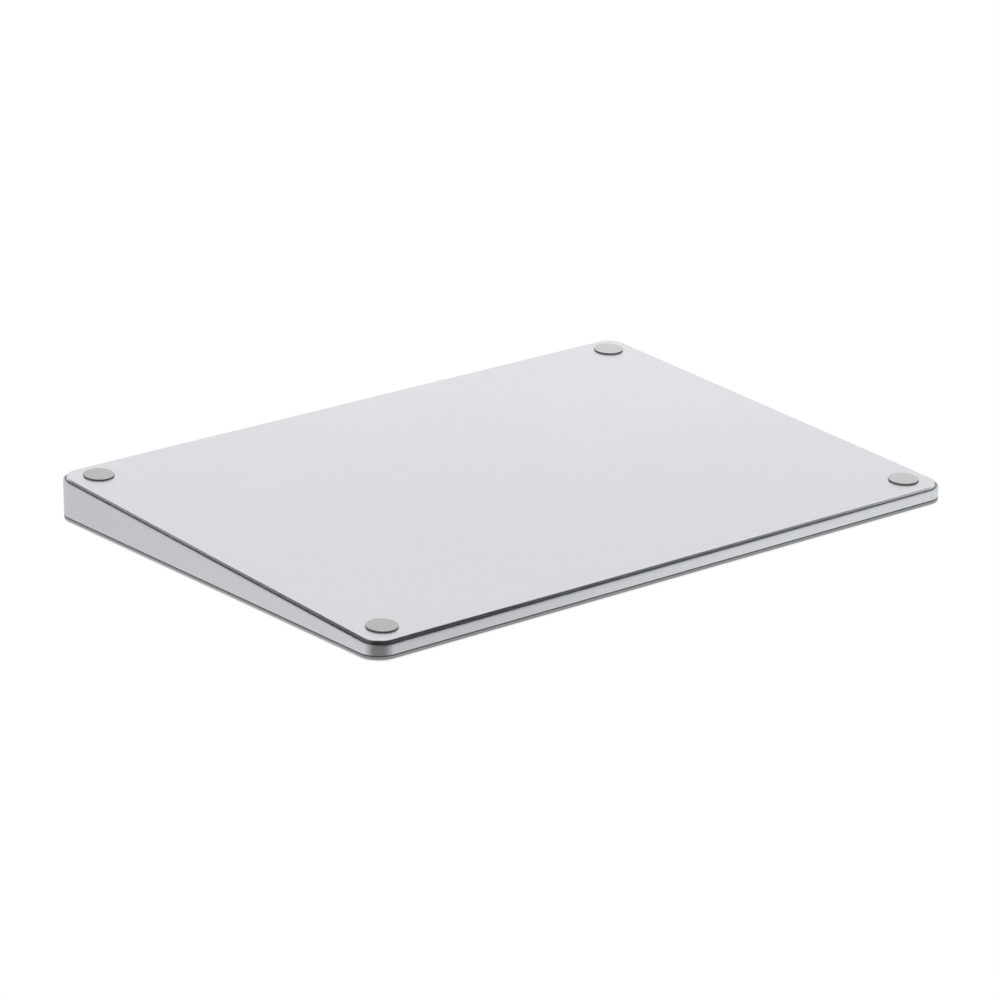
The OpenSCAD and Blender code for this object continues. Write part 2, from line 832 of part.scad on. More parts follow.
module touch_glass() {
    color("white")
        on_slope()
            translate([0, 0, -glass_t]) {
                sweep_round(body_w, body_d, corner_r)
                    glass_profile();
                translate([corner_r - body_w / 2, corner_r - body_d / 2, 0])
                    cube([body_w - 2 * corner_r, body_d - 2 * corner_r, glass_t]);
            }
}

module glass_bond() {
    color("whitesmoke")
        on_slope()
            layer(glass_t, bond_t)
                rounded(touch_w, touch_d, touch_r);
}

module touch_board() {
    color("darkgreen")
        on_slope()
            layer(touch_top, touch_t)
                rounded(touch_w, touch_d, touch_r);
}

module touch_chips() {
    color("black")
        on_slope() {
            box_at([cell_x, cell_y], [touch_chip_s, touch_chip_s, touch_chip_h], touch_bot);
            for (s = [-1, 1])
                box_at([cell_x + s * touch_chip_pitch, cell_y],
                    [chip_l, chip_w, touch_chip_h], touch_bot);
        }
}

module touch_connector() {
    color("ivory")
        on_slope()
            box_at([plug_x, plug_y + plug_d / 2], [plug_w, plug_d, plug_h], touch_bot);
}

// iron plate that the haptic engine pulls: a flange on the board and a bar beside the legs
module attraction_plate() {
    color("slategray")
        on_slope() {
            box_at([plate_x + (plate_w - flange_w) / 2, haptic_y],
                [flange_w, plate_l, flange_t], touch_bot);
            box_at([plate_x, haptic_y], [plate_w, plate_l, core_top + core_t - touch_bot], touch_bot);
        }
}

// force sensors
module flexure_outline() {
    difference() {
        translate([flexure_shift, 0])
            rounded(flexure_l, flexure_w, flexure_r);
        difference() {
            translate([-root_in, -tongue_w / 2 - tongue_slot])
                square([tongue_l + tongue_slot, tongue_w + 2 * tongue_slot]);
            translate([-root_in - over, -tongue_w / 2])
                square([tongue_l + over, tongue_w]);
        }
        for (s = [-1, 1])
            translate([-flexure_screw_x, s * flexure_screw_y])
                circle(screw_d / 2 + screw_gap);
    }
}

module flexure(sx, sy) {
    color("lightsteelblue")
        on_slope()
            at_flexure(sx, sy)
                layer(flexure_top, flexure_t)
                    flexure_outline();
}

module flexure_front_left() { flexure(-1, -1); }
module flexure_front_right() { flexure(1, -1); }
module flexure_rear_left() { flexure(-1, 1); }
module flexure_rear_right() { flexure(1, 1); }

module gel_pads() {
    color("royalblue")
        on_slope()
            at_flexures()
                box_at([pad_x, 0], [pad_s, pad_s, pad_t], touch_bot);
}

module strain_gauges() {
    color("orange")
        on_slope()
            at_flexures()
                box_at([gauge_in + gauge_s / 2 - root_in, 0], [gauge_s, gauge_s, gauge_t], deck_top);
}

module flexure_screws() {
    color("gray")
        on_slope()
            at_flexures()
                for (s = [-1, 1])
                    screw_at([-flexure_screw_x, s * flexure_screw_y], deck_bot, flexure_top + tip_in);
}

// cable under the deck: a strip from front to rear, a tail to each gauge and a step to the main board
module sensor_cable(sx) {
    strip_at = sx * strip_out;
    rear_end = flexure_y + strip_w / 2;
    gauge_bot = deck_top + gauge_t;
    tail_x = gauge_in + cable_t - root_in;
    color("darkorange")
        on_slope() {
            box_at([strip_at, 0], [strip_w, 2 * rear_end, cable_t], deck_bot);
            for (sy = [-1, 1])
                at_flexure(sx, sy) {
                    box_at([(strip_x + tail_x) / 2, 0], [tail_x - strip_x, strip_w, cable_t], deck_bot);
                    box_at([tail_x - cable_t / 2, 0], [cable_t, strip_w, deck_bot + cable_t - gauge_bot],
                        gauge_bot);
                }
            across(strip_at, strip_w)
                cable_step(rear_end - eps, deck_bot + cable_t / 2,
                    rear_end + main_top - deck_bot + strip_end, main_top - cable_t / 2);
        }
}

module sensor_cable_left() { sensor_cable(-1); }
module sensor_cable_right() { sensor_cable(1); }

// haptic engine
module haptic_core() {
    color("dimgray")
        on_slope()
            layer(core_top, core_t)
                translate([0, haptic_y]) {
                    translate([core_back, -core_l / 2])
                        square([back_w, core_l]);
                    translate([leg_end, -leg_w / 2])
                        square([leg_l + eps, leg_w]);
                    for (s = [-1, 1])
                        translate([leg_end, s * (core_l - end_leg_w) / 2 - end_leg_w / 2])
                            square([leg_l + eps, end_leg_w]);
                }
}

module haptic_coil() {
    coil_l = leg_l - 2 * leg_bare;
    color("peru")
        on_slope()
            translate([leg_end + leg_bare, haptic_y, -core_top - core_t / 2])
                rotate([90, 0, 90])
                    linear_extrude(coil_l)
                        difference() {
                            rounded(leg_w + 2 * coil_w, core_t + 2 * coil_t, coil_t);
                            square([leg_w, core_t], center = true);
                        }
}

module haptic_bracket() {
    color("lightgray")
        on_slope()
            layer(deck_bot, bracket_t)
                difference() {
                    translate([haptic_left - bracket_rim, haptic_y - core_l / 2 - bracket_rim])
                        square([haptic_right - haptic_left + 2 * bracket_rim, core_l + 2 * bracket_rim]);
                    translate([haptic_left, haptic_y - core_l / 2])
                        square([haptic_right - haptic_left, core_l]);
                    for (spot = bracket_spots())
                        translate(spot)
                            circle(screw_d / 2 + screw_gap);
                }
}

module haptic_screws() {
    color("gray")
        on_slope()
            for (spot = bracket_spots())
                screw_at(spot, deck_bot + bracket_t, deck_top + tip_in);
}

// cable from the coil under the core's back, along the aisle beside the battery, to the main board
module haptic_cable() {
    coil_end = core_back - leg_bare;
    run_y = haptic_y;
    aisle_end = socket_y - aisle_step;
    color("darkorange")
        on_slope() {
            box_at([(coil_end + aisle_x + aisle_w / 2) / 2, run_y],
                [aisle_x + aisle_w / 2 - coil_end, aisle_w, cable_t], aisle_z);
            box_at([aisle_x, (run_y + aisle_end) / 2], [aisle_w, aisle_end - run_y, cable_t], aisle_z);
            across(aisle_x, aisle_w)
                cable_step(aisle_end - eps, aisle_z + cable_t / 2, socket_y, socket_z);
        }
}

// battery
module battery() {
    color("slategray")
        on_slope()
            layer(cell_top, cell_t)
                translate([cell_x, cell_y])
                    rounded(cell_w, cell_d, cell_corner_r);
}

module battery_board() {
    color("darkgreen")
        on_slope()
            box_at([guard_x, cell_rear + guard_d / 2], [guard_w, guard_d, guard_t], guard_top);
}

module battery_tapes() {
    color("black")
        on_slope()
            for (s = [-1, 1])
                box_at([cell_x, cell_y + s * cell_d / 3],
                    [cell_w - 2 * tape_in, tape_w, tape_t], deck_bot);
}

module battery_cable() {
    color("darkorange")
        on_slope()
            across(guard_x, lead_w)
                cable_step(cell_rear + guard_d, guard_top + guard_t / 2, socket_y, socket_z);
}

// main board
module main_board() {
    color("seagreen")
        on_slope()
            layer(main_top, main_t)
                difference() {
                    translate([0, main_rear - main_d / 2])
                        rounded(main_w, main_d, main_r);
                    for (spot = post_spots())
                        translate(spot)
                            circle(screw_d / 2 + screw_gap);
                }
}

// pressed lid without a floor, between two places along the board's rear edge
module shield_can(left, right, w) {
    at = [(left + right) / 2, main_rear - can_in - w / 2];
    difference() {
        box_at(at, [right - left, w, can_h], main_top - can_h);
        box_at(at, [right - left - 2 * can_sheet, w - 2 * can_sheet, can_h],
            main_top - can_h + can_sheet);
    }
}

module shield_cans() {
    color("lightgray")
        on_slope() {
            shield_can(shell_w / 2 + can_gap, shell_w / 2 + can_gap + can_l, can_w);
            shield_can(switch_x + switch_l / 2 + can_2_gap, main_w / 2 - can_2_in, can_2_w);
        }
}

module board_chips() {
    color("black")
        on_slope() {
            box_at([chip_x, main_rear - chip_w], [chip_l, chip_w, chip_h], main_top - chip_h);
            box_at([post_in / 2, post_y], [chip_l, chip_w, chip_h], main_top - chip_h);
            box_at([switch_x, post_y], [chip_l, chip_w, chip_h], main_top - chip_h);
        }
}

module board_connectors() {
    color("ivory")
        on_slope() {
            box_at([plug_x, plug_y + plug_d / 2], [plug_w, plug_d, socket_h], main_top - socket_h);
            box_at([guard_x, socket_y + socket_d / 2], [lead_w + socket_more, socket_d, socket_h],
                main_top - socket_h);
            box_at([aisle_x, socket_y + socket_d / 2], [aisle_w + socket_more, socket_d, socket_h],
                main_top - socket_h);
        }
}

module board_screws() {
    color("gray")
        on_slope()
            for (spot = post_spots())
                screw_at(spot, main_top + main_t, main_top - post_grip + post_spare);
}

// plastic block with the radiating strip on its upper face
module antenna() {
    color("dimgray")
        on_slope() {
            box_at([antenna_x, antenna_y], [antenna_l, antenna_w, antenna_h], main_top - antenna_h);
            for (s = [-1, 1])
                box_at([antenna_x, antenna_y + s * antenna_w / 4],
                    [antenna_l - 2 * radiator_w, radiator_w, radiator_t + eps],
                    main_top - antenna_h - radiator_t);
        }
}

// cable that turns back on itself between the touch board and the main board
module touch_cable() {
    run = touch_cable_run;
    color("darkorange")
        on_slope()
            across(plug_x, plug_w - 2 * socket_more) {
                translate([cable_turn_y, -touch_cable_z - cable_t / 2])
                    square([run, cable_t]);
                translate([cable_turn_y, -socket_z - cable_t / 2])
                    square([run, cable_t]);
                for (turn = [90, 180])
                    translate([cable_turn_y, -touch_cable_z - cable_turn])
                        quarter_ring(cable_turn + cable_t / 2, cable_turn - cable_t / 2, turn);
            }
}

// charging inlet
module inlet_shell() {
    color("silver")
        on_slope()
            into_rear(0, inlet_z, mouth_in, shell_l)
                difference() {
                    stadium(shell_w, shell_h);
                    stadium(inlet_w, inlet_h);
                }
}

module inlet_tongue() {
    color("black")
        on_slope() {
            into_rear(0, inlet_z, mouth_in + shell_l - seat_l, seat_l)
                stadium(inlet_w - eps, inlet_h - eps);
            into_rear(0, inlet_z, mouth_in + blade_in, shell_l - blade_in - seat_l / 2)
                square([blade_w, blade_t], center = true);
        }
}

module inlet_contacts() {
    color("gold")
        on_slope()
            for (s = [-1, 1])
                for (i = [0 : contact_n - 1])
                    into_rear((i - (contact_n - 1) / 2) * contact_pitch,
                        inlet_z + s * (blade_t + contact_t) / 2,
                        mouth_in + blade_in + contact_in, contact_l)
                        square([contact_w, contact_t], center = true);
}

// power switch
module power_knob() {
    color("gainsboro")
        on_slope() {
            difference() {
                into_rear(slider_x, switch_z, knob_in, knob_t)
                    stadium(knob_l, knob_h);
                for (i = [-1, 0, 1])
                    into_rear(slider_x + i * groove_pitch, switch_z, knob_in - over, over + groove_t)
                        square([groove_w, groove_l], center = true);
            }
            into_rear(slider_x, switch_z, knob_in + knob_t - eps, carrier_back - knob_in - knob_t - eps)
                square([stem_w, stem_h], center = true);
        }
}

module switch_carrier() {
    color("whitesmoke")
        on_slope() {
            into_rear(slider_x, switch_z, carrier_in, carrier_t)
                difference() {
                    square([carrier_l, carrier_h], center = true);
                    square([stem_w + eps, stem_h + eps], center = true);
                }
            for (s = [-1, 1])
                into_rear(slider_x + s * prong_x, switch_z, carrier_back - eps, fork_l + eps)
                    square([prong_w, prong_h], center = true);
        }
}

// green film that comes into sight beside the knob when the switch is on
module on_marker() {
    left = slider_x - carrier_l / 2 + marker_in;
    right = slider_x - stem_w / 2 - knob_gap;
    color("limegreen")
        on_slope()
            into_rear((left + right) / 2, switch_z, carrier_in - marker_t, marker_t)
                square([right - left, stem_slot_h], center = true);
}

module switch_lever() {
    color("dimgray")
        on_slope()
            into_rear(slider_x, switch_z, carrier_back + slider_gap, fork_l + lever_in)
                square([lever_w, lever_h], center = true);
}

module switch_body() {
    color("darkslategray")
        on_slope()
            difference() {
                box_at([switch_x, body_d / 2 - body_in - switch_d / 2], [switch_l, switch_d, switch_h],
                    main_top - switch_h);
                into_rear(switch_x, switch_z, body_in - over, over + lever_in + lever_gap)
                    square([lever_w + switch_travel + 2 * lever_gap, lever_h + 2 * lever_gap],
                        center = true);
            }
}

frame();
bottom_cover();
cover_adhesive();
foot_front_left();
foot_front_right();
foot_rear_left();
foot_rear_right();
touch_glass();
glass_bond();
touch_board();
touch_chips();
touch_connector();
attraction_plate();
flexure_front_left();
flexure_front_right();
flexure_rear_left();
flexure_rear_right();
gel_pads();
strain_gauges();
flexure_screws();
sensor_cable_left();
sensor_cable_right();
haptic_core();
haptic_coil();
haptic_bracket();
haptic_screws();
haptic_cable();
battery();
battery_board();
battery_tapes();
battery_cable();
main_board();
shield_cans();
board_chips();
board_connectors();
board_screws();
antenna();
touch_cable();
inlet_shell();
inlet_tongue();
inlet_contacts();
power_knob();
switch_carrier();
on_marker();
switch_lever();
switch_body();
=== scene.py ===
# %% [markdown]
# # A wedge-shaped trackpad, dressed for the camera
# The trackpad is a glass touch plate, a thin metal frame and a pressed metal bottom cover on four rubber
# feet. The photograph shows it lying upside down, so its cover is what the camera sees most of. The
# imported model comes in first: it is the fixed frame that every piece below is measured against.

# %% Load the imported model
import math

import bmesh
import bpy
from mathutils import Matrix, Vector


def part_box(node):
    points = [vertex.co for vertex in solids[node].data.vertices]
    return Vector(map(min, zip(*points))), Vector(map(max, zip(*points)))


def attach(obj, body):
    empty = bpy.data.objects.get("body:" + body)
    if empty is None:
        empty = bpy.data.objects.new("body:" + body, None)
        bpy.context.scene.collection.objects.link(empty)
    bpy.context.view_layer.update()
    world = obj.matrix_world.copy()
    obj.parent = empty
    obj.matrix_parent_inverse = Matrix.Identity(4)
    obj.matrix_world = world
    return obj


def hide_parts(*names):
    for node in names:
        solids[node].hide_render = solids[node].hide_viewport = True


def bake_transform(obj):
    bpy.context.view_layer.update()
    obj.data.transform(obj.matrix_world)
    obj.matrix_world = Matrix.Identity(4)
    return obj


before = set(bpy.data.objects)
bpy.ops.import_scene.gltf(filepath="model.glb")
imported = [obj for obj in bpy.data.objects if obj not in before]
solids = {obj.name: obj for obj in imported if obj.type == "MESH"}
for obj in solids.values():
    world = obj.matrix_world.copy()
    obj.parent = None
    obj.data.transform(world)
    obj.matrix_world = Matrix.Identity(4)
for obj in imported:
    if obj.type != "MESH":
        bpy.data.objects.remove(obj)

scene = bpy.context.scene
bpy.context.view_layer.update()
MM = 0.001

# %% [markdown]
# ## The sloping top
# Glass, frame and all that they hold lie in a plane that rises to the rear. A maker would draw them flat
# and tilt the drawing once. The same is done here: `SLOPED` turns a flat drawing, whose origin is the
# middle of the glass face and whose depths run downwards, into its place on the object.

# %% Sizes and the tilted drawing plane
BODY_W, BODY_D = 160.0, 114.9
FRONT_H, REAR_H = 4.9, 10.9
CORNER_R = 5.0
GLASS_T, GLASS_EDGE = 1.1, 0.6
FOOT_H, COVER_DROP = 0.4, 1.0

slope = math.asin((REAR_H - FRONT_H) / BODY_D)
rim_rear_depth = (REAR_H - FOOT_H - COVER_DROP) / math.cos(slope)
top_middle = Vector((0, -(rim_rear_depth + GLASS_EDGE) * math.sin(slope) / 2, (FRONT_H + REAR_H) / 2)) * MM
TILT = Matrix.Rotation(slope, 4, "X")
SLOPED = Matrix.Translation(top_middle) @ TILT
print("slope", round(math.degrees(slope), 3), "degrees, top middle", [round(x / MM, 3) for x in top_middle])

# %% [markdown]
# ## The camera
# In the photograph the object lies on its glass, so the camera looks at the underside. The part itself
# stays on its feet, as its frame says. The camera therefore goes below the floor and is turned over.
# Its place was fitted to the outline with the object upside down; `PHOTO` turns that place over.

# %% Camera at the photograph's viewing angle
LENS, SENSOR = 170.06, 36.0
CAMERA_DISTANCE = 1034.0
CAMERA_AZIMUTH, CAMERA_ELEVATION, CAMERA_ROLL = map(math.radians, (39.04, 19.31, 0.10))
CAMERA_TARGET = Vector((-4.60, -4.38, 4.0))
HIDDEN_GLASS_EDGE = 0.45
CLIP_NEAR, CLIP_FAR = 0.01, 100.0

upside_down = Matrix.Rotation(math.pi, 4, "Y")
PHOTO = SLOPED @ Matrix.Translation((0, 0, -HIDDEN_GLASS_EDGE * MM)) @ upside_down
level = math.cos(CAMERA_ELEVATION)
back = Vector((-math.sin(CAMERA_AZIMUTH) * level, -math.cos(CAMERA_AZIMUTH) * level,
               math.sin(CAMERA_ELEVATION)))
across = Vector((0, 0, 1)).cross(back).normalized()
upward = back.cross(across)
turned = Matrix((across, upward, back)).transposed() @ Matrix.Rotation(CAMERA_ROLL, 3, "Z")

camera = bpy.data.objects.new("photo_camera", bpy.data.cameras.new("photo_camera"))
scene.collection.objects.link(camera)
scene.camera = camera
camera.data.lens, camera.data.sensor_width = LENS, SENSOR
camera.data.clip_start, camera.data.clip_end = CLIP_NEAR, CLIP_FAR
place = Matrix.Translation((CAMERA_TARGET + CAMERA_DISTANCE * back) * MM) @ turned.to_4x4()
camera.matrix_world = PHOTO @ place
print("camera at", [round(x, 3) for x in camera.matrix_world.translation], "m")

# %% [markdown]
# ## Building with nodes
# The world, the finishes and several pieces below are node trees. Each node could be made and linked line
# by line, which is long to read. One helper makes a node, sets its options and fills its inputs with
# values or links, so that a tree reads like a recipe.

# %% The node helpers
def put(tree, kind, settings=None, **inputs):
    """Adds a node with its settings and inputs.

    An input is named with _ for a space, or i0, i1 for its number, and takes a value or a link.
    """
    made = tree.nodes.new(kind)
    for name, value in (settings or {}).items():
        setattr(made, name, value)
    for name, value in inputs.items():
        key = int(name[1:]) if name[0] == "i" and name[1:].isdigit() else name.replace("_", " ")
        if isinstance(value, bpy.types.NodeSocket):
            tree.links.new(value, made.inputs[key])
        else:
            made.inputs[key].default_value = value
    return made


def calc(tree, operation, a, b=0.0):
    return put(tree, "ShaderNodeMath", {"operation": operation}, i0=a, i1=b).outputs[0]


def times(tree, a, b):
    return calc(tree, "MULTIPLY", a, b)


def vector(tree, x=0.0, y=0.0, z=0.0):
    return put(tree, "ShaderNodeCombineXYZ", X=x, Y=y, Z=z).outputs[0]


def empty_material(name):
    made = bpy.data.materials.new(name)
    made.use_nodes = True
    made.node_tree.nodes.clear()
    return made, made.node_tree


print("node helpers:", [helper.__name__ for helper in (put, calc, times, vector, empty_material)])

# %% [markdown]
# ## World and floor
# The photograph was taken in a white room. The world is plain white to the camera and in reflections, and
# a little dimmer as a light, so that a colour renders about as it is written. A pale floor carries the
# object in the views from above. It lies a hair below the feet, and it is clear from below, so that the
# photograph's view of the underside stays free.

# %% World
WHITE = (1, 1, 1, 1)
WORLD_LIGHT, WORLD_SEEN = 0.8, 1.0
world = bpy.data.worlds.new("white_room")
scene.world = world
world.use_nodes = True
tree = world.node_tree
tree.nodes.clear()
ray = put(tree, "ShaderNodeLightPath").outputs
seen = calc(tree, "MAXIMUM", ray["Is Camera Ray"], ray["Is Glossy Ray"])
seen = calc(tree, "MAXIMUM", seen, ray["Is Transmission Ray"])
light = put(tree, "ShaderNodeBackground", Color=WHITE, Strength=WORLD_LIGHT)
white = put(tree, "ShaderNodeBackground", Color=WHITE, Strength=WORLD_SEEN)
mixed = put(tree, "ShaderNodeMixShader", i0=seen, i1=light.outputs[0], i2=white.outputs[0])
put(tree, "ShaderNodeOutputWorld", Surface=mixed.outputs[0])
scene.view_settings.view_transform = "Standard"
print("world light", WORLD_LIGHT)


# %% Floor
def stage_sheet(name, corners, faces, paint, unseen_by):
    """A sheet of the studio, which is no part of the object; some kinds of rays pass it by."""
    mesh = bpy.data.meshes.new(name)
    mesh.from_pydata(corners, [], faces)
    mesh.materials.append(paint)
    made = bpy.data.objects.new(name, mesh)
    scene.collection.objects.link(made)
    for kind in unseen_by:
        setattr(made, "visible_" + kind, False)
    return made


FLOOR_HALF, FLOOR_Z = 4.0, -0.1 * MM
FLOOR_TONE = (0.80, 0.80, 0.80, 1)
floor_paint, tree = empty_material("pale_floor")
pale = put(tree, "ShaderNodeBsdfDiffuse", Color=FLOOR_TONE)
clear = put(tree, "ShaderNodeBsdfTransparent")
behind = put(tree, "ShaderNodeNewGeometry").outputs["Backfacing"]
mixed = put(tree, "ShaderNodeMixShader", i0=behind, i1=pale.outputs[0], i2=clear.outputs[0])
put(tree, "ShaderNodeOutputMaterial", Surface=mixed.outputs[0])
corners = [(sx * FLOOR_HALF, sy * FLOOR_HALF, FLOOR_Z) for sx, sy in ((-1, -1), (1, -1), (1, 1), (-1, 1))]
stage_sheet("floor", corners, [(0, 1, 2, 3)], floor_paint, ("diffuse", "glossy", "transmission", "shadow"))
print("floor at", FLOOR_Z / MM, "mm")

# %% [markdown]
# ## Card strips and lamps
# A blasted metal shows the room in its edges. In the photograph the cover's rolled edge turns from pale to
# nearly black, most of all at the corner that faces the camera, and that corner's wall is grey. A
# photographer gets this with black and white card. Large cards would darken the walls in every other view
# too, so here two low strips stand close to the object: a dark one all round for the rolled edge, and a
# pale one along the two sides that the photograph shows. The pale one ends below the glass face, which
# would mirror it. Their tones change along the way. A third card, light grey, stands below the floor
# beyond the far corner and shades the nearer half of the cover a little. Only reflections see the cards.

# %% Places and tones of the strips
# gap to the wall, the height where the two strips meet, and how far the pale one ends below the glass, in mm
CARD_GAP, CARD_RIM, CARD_BELOW = 0.5, 1.5, 0.15
# lower edge of the dark strip on the near sides, at the near corner and on the far corners, in mm
NEAR_LOW, CORNER_LOW, FAR_LOW = -0.3, -2.7, 0.45
# how much of the near corner's drop each side takes up beside it, and the length over which it fades, in mm
FRONT_SHARE, RIGHT_SHARE, SIDE_FADE = 0.7, 0.2, 60.0
# grey of the near corner, and the degrees from its middle where the grey is full and where it has ended
CORNER_GREY, CORNER_FULL, FRONT_NONE, RIGHT_NONE = 0.27, 12, 47, 42
# tones of the pale strip, and the length over which the front one turns white, in mm
FRONT_PALE, RIGHT_PALE, REAR_PALE, PALE_FADE = 0.79, 0.92, 0.85, 110.0
# tones of the dark strip, and the degrees over which they change at a corner
FAR_DARK, RIGHT_DARK, FRONT_END_DARK, OUTER_DARK = 0.20, 0.05, 0.45, 0.85
TURN_FADE, OUTER_FADE = 40, 30
# where the front's dark tone and its end's tone start and the lengths they take, in mm
FRONT_FROM, FRONT_OVER, END_FROM, END_OVER = 40, 110, 118, 32
# how much the right side's dark tone rises per mm
RIGHT_RISE = 0.003
# ends of the near line and the step round a corner, in degrees: 0 is the front, 90 the right, 180 the rear
RIGHT_END, LEFT_END, TURN_STEP = 135, 315, 3
# steps along the two near sides
FRONT_STEPS, RIGHT_STEPS = 30, 22

rim_half = BODY_D / math.cos(slope) / 2
half_x, half_y, card_r = BODY_W / 2 - CORNER_R, rim_half - CORNER_R, CORNER_R + CARD_GAP
near_angle = math.degrees(CAMERA_AZIMUTH)


def ease(x):
    x = min(1, max(0, x))
    return x * x * (3 - 2 * x)


def blend(a, b, share):
    return a + (b - a) * share


print("strips", card_r - CORNER_R, "mm from the wall, near corner at", round(near_angle, 2), "degrees")


# %% Lower edge, dark tone and pale tone along the way
def near_corner(angle):
    none = FRONT_NONE if angle < near_angle else RIGHT_NONE
    full = ease((none - abs(angle - near_angle)) / (none - CORNER_FULL))
    turned_by = ease(angle / 90)
    low = blend(NEAR_LOW, CORNER_LOW, max(full, blend(FRONT_SHARE, RIGHT_SHARE, turned_by)))
    dark = RIGHT_DARK * ease((angle - near_angle) / TURN_FADE)
    return low, dark, blend(blend(FRONT_PALE, RIGHT_PALE, turned_by), CORNER_GREY, full)


def front_left_corner(angle):
    return NEAR_LOW, blend(FRONT_END_DARK, OUTER_DARK, ease(-angle / TURN_FADE)), 1.0


def rear_right_corner(angle):
    return NEAR_LOW, blend(FAR_DARK, OUTER_DARK, ease((angle - 90) / TURN_FADE)), REAR_PALE


def far_corner(angle):
    from_right, from_left = angle - RIGHT_END, LEFT_END - angle
    outer = max(ease((OUTER_FADE - from_end) / OUTER_FADE) for from_end in (from_right, from_left))
    return FAR_LOW, blend(FAR_DARK, OUTER_DARK, outer), 1.0


def side_low(far, share):
    return blend(NEAR_LOW, CORNER_LOW, share * ease(1 - far / SIDE_FADE))


def front_side(far):
    dark = FAR_DARK * ease((far - FRONT_FROM) / FRONT_OVER)
    dark = blend(dark, FRONT_END_DARK, ease((far - END_FROM) / END_OVER))
    return side_low(far, FRONT_SHARE), dark, blend(FRONT_PALE, 1.0, ease(far / PALE_FADE))


def right_side(far):
    dark = RIGHT_DARK + min(FAR_DARK, RIGHT_RISE * far)
    return side_low(far, RIGHT_SHARE), dark, blend(RIGHT_PALE, REAR_PALE, far / (2 * half_y))


print("near corner, lower edge and tones:", [round(x, 2) for x in near_corner(near_angle)])


# %% The line that the strips follow
def round_corner(x, y, first, last, given):
    """Points round a corner, with what `given` says of each direction."""
    turns = [(math.radians(angle), given(angle)) for angle in range(first, last + 1, TURN_STEP)]
    return [(x + card_r * math.sin(turn), y - card_r * math.cos(turn), *rest) for turn, rest in turns]


near_line = round_corner(-half_x, -half_y, LEFT_END - 360, -TURN_STEP, front_left_corner)
for step in range(FRONT_STEPS + 1):
    far = 2 * half_x * (1 - step / FRONT_STEPS)
    near_line.append((half_x - far, -half_y - card_r, *front_side(far)))
near_line += round_corner(half_x, -half_y, TURN_STEP, 90 - TURN_STEP, near_corner)
for step in range(RIGHT_STEPS + 1):
    far = 2 * half_y * step / RIGHT_STEPS
    near_line.append((half_x + card_r, far - half_y, *right_side(far)))
near_line += round_corner(half_x, half_y, 90 + TURN_STEP, RIGHT_END, rear_right_corner)

far_line = round_corner(half_x, half_y, RIGHT_END, 180, far_corner)
far_line += round_corner(-half_x, half_y, 180, 270, far_corner)
far_line += round_corner(-half_x, -half_y, 270, LEFT_END, far_corner)
print("line:", len(near_line), "near points,", len(far_line), "far points")


# %% Strips of card, seen in reflections alone
def card(name, line, heights, tones):
    """A strip along a line; heights are its lower and upper edges in mm, and its tone changes along it."""
    material, tree = empty_material(name)
    tone = put(tree, "ShaderNodeAttribute", {"attribute_name": "tone"}).outputs["Fac"]
    # each strip glows with its fixed tone and no lamp lights it: painted reflections, and the dark strips
    # paint shade into the rolled edge, the groove and the lower walls
    glow = put(tree, "ShaderNodeEmission", Color=WHITE, Strength=tone)
    put(tree, "ShaderNodeOutputMaterial", Surface=glow.outputs[0])
    material.cycles.emission_sampling = "NONE"
    count = len(line)
    points = [Vector((*spot[:2], pair[side])) * MM for side in (0, 1) for spot, pair in zip(line, heights)]
    strips = [(i, i + 1, count + i + 1, count + i) for i in range(count - 1)]
    made = stage_sheet(name, points, strips, material, ("camera", "diffuse", "transmission", "shadow"))
    made.data.attributes.new("tone", "FLOAT", "POINT").data.foreach_set("value", tones * 2)
    print(name, len(strips), "strips")


def glass_height(y):
    return top_middle.z / MM + (y - top_middle.y / MM) * math.tan(slope)


dark_line = near_line + far_line
card("dark_card", dark_line, [(spot[2], CARD_RIM) for spot in dark_line], [spot[3] for spot in dark_line])
card("pale_card", near_line, [(CARD_RIM, glass_height(spot[1]) - CARD_BELOW) for spot in near_line],
     [spot[4] for spot in near_line])

# tone, the heights of its two edges and the points it stands on, in mm
SHADE_TONE, SHADE_NEAR, SHADE_FAR = 0.88, -60.0, -300.0
shade_line = [(-230.0, 0.0), (-108.0, 92.0), (60.0, 200.0)]
card("shade_card", shade_line, [(SHADE_NEAR, SHADE_FAR)] * len(shade_line), [SHADE_TONE] * len(shade_line))


# %% Lamps
def softbox(name, at, aim, size, power):
    """A round lamp; places and size are in metres, its power is in watts."""
    lamp = bpy.data.objects.new(name, bpy.data.lights.new(name, "AREA"))
    lamp.data.shape, lamp.data.size, lamp.data.energy = "DISK", size, power
    lamp.location = at
    lamp.rotation_euler = (Vector(aim) - Vector(at)).to_track_quat("-Z", "Y").to_euler()
    scene.collection.objects.link(lamp)
    return lamp


softbox("lamp_above", at=(-0.7, -0.5, 1.5), aim=(0, 0, 0), size=1.4, power=6)
feet_lamp = softbox("lamp_below", at=PHOTO @ Vector((0.10, 0.02, 0.16)), aim=PHOTO @ Vector((0.06, 0.02, 0)),
                    size=0.1, power=0.1)
feet_lamp.visible_glossy = False

# %% [markdown]
# ## Effects that several finishes share
# Blasted metal, moulded plastic and rubber all have a fine grain; metal and glass carry faint handling
# marks; boards and flat cables have rows of tracks; and a coated or moulded piece looks different on its
# faces and its sides. Each effect could be copied into every material. As a group it is built once, and
# each finish sets its own sizes. The groups read object coordinates, which are the part's own metres.

# %% Helpers: a group, its coordinates and a ramp
def effect_group(name, inputs, outputs):
    tree = bpy.data.node_groups.new(name, "ShaderNodeTree")
    for label, value in inputs.items():
        socket = tree.interface.new_socket(label, in_out="INPUT", socket_type="NodeSocketFloat")
        socket.default_value = value
    for label in outputs:
        tree.interface.new_socket(label, in_out="OUTPUT", socket_type="NodeSocketFloat")
    return tree, tree.nodes.new("NodeGroupInput").outputs, tree.nodes.new("NodeGroupOutput").inputs


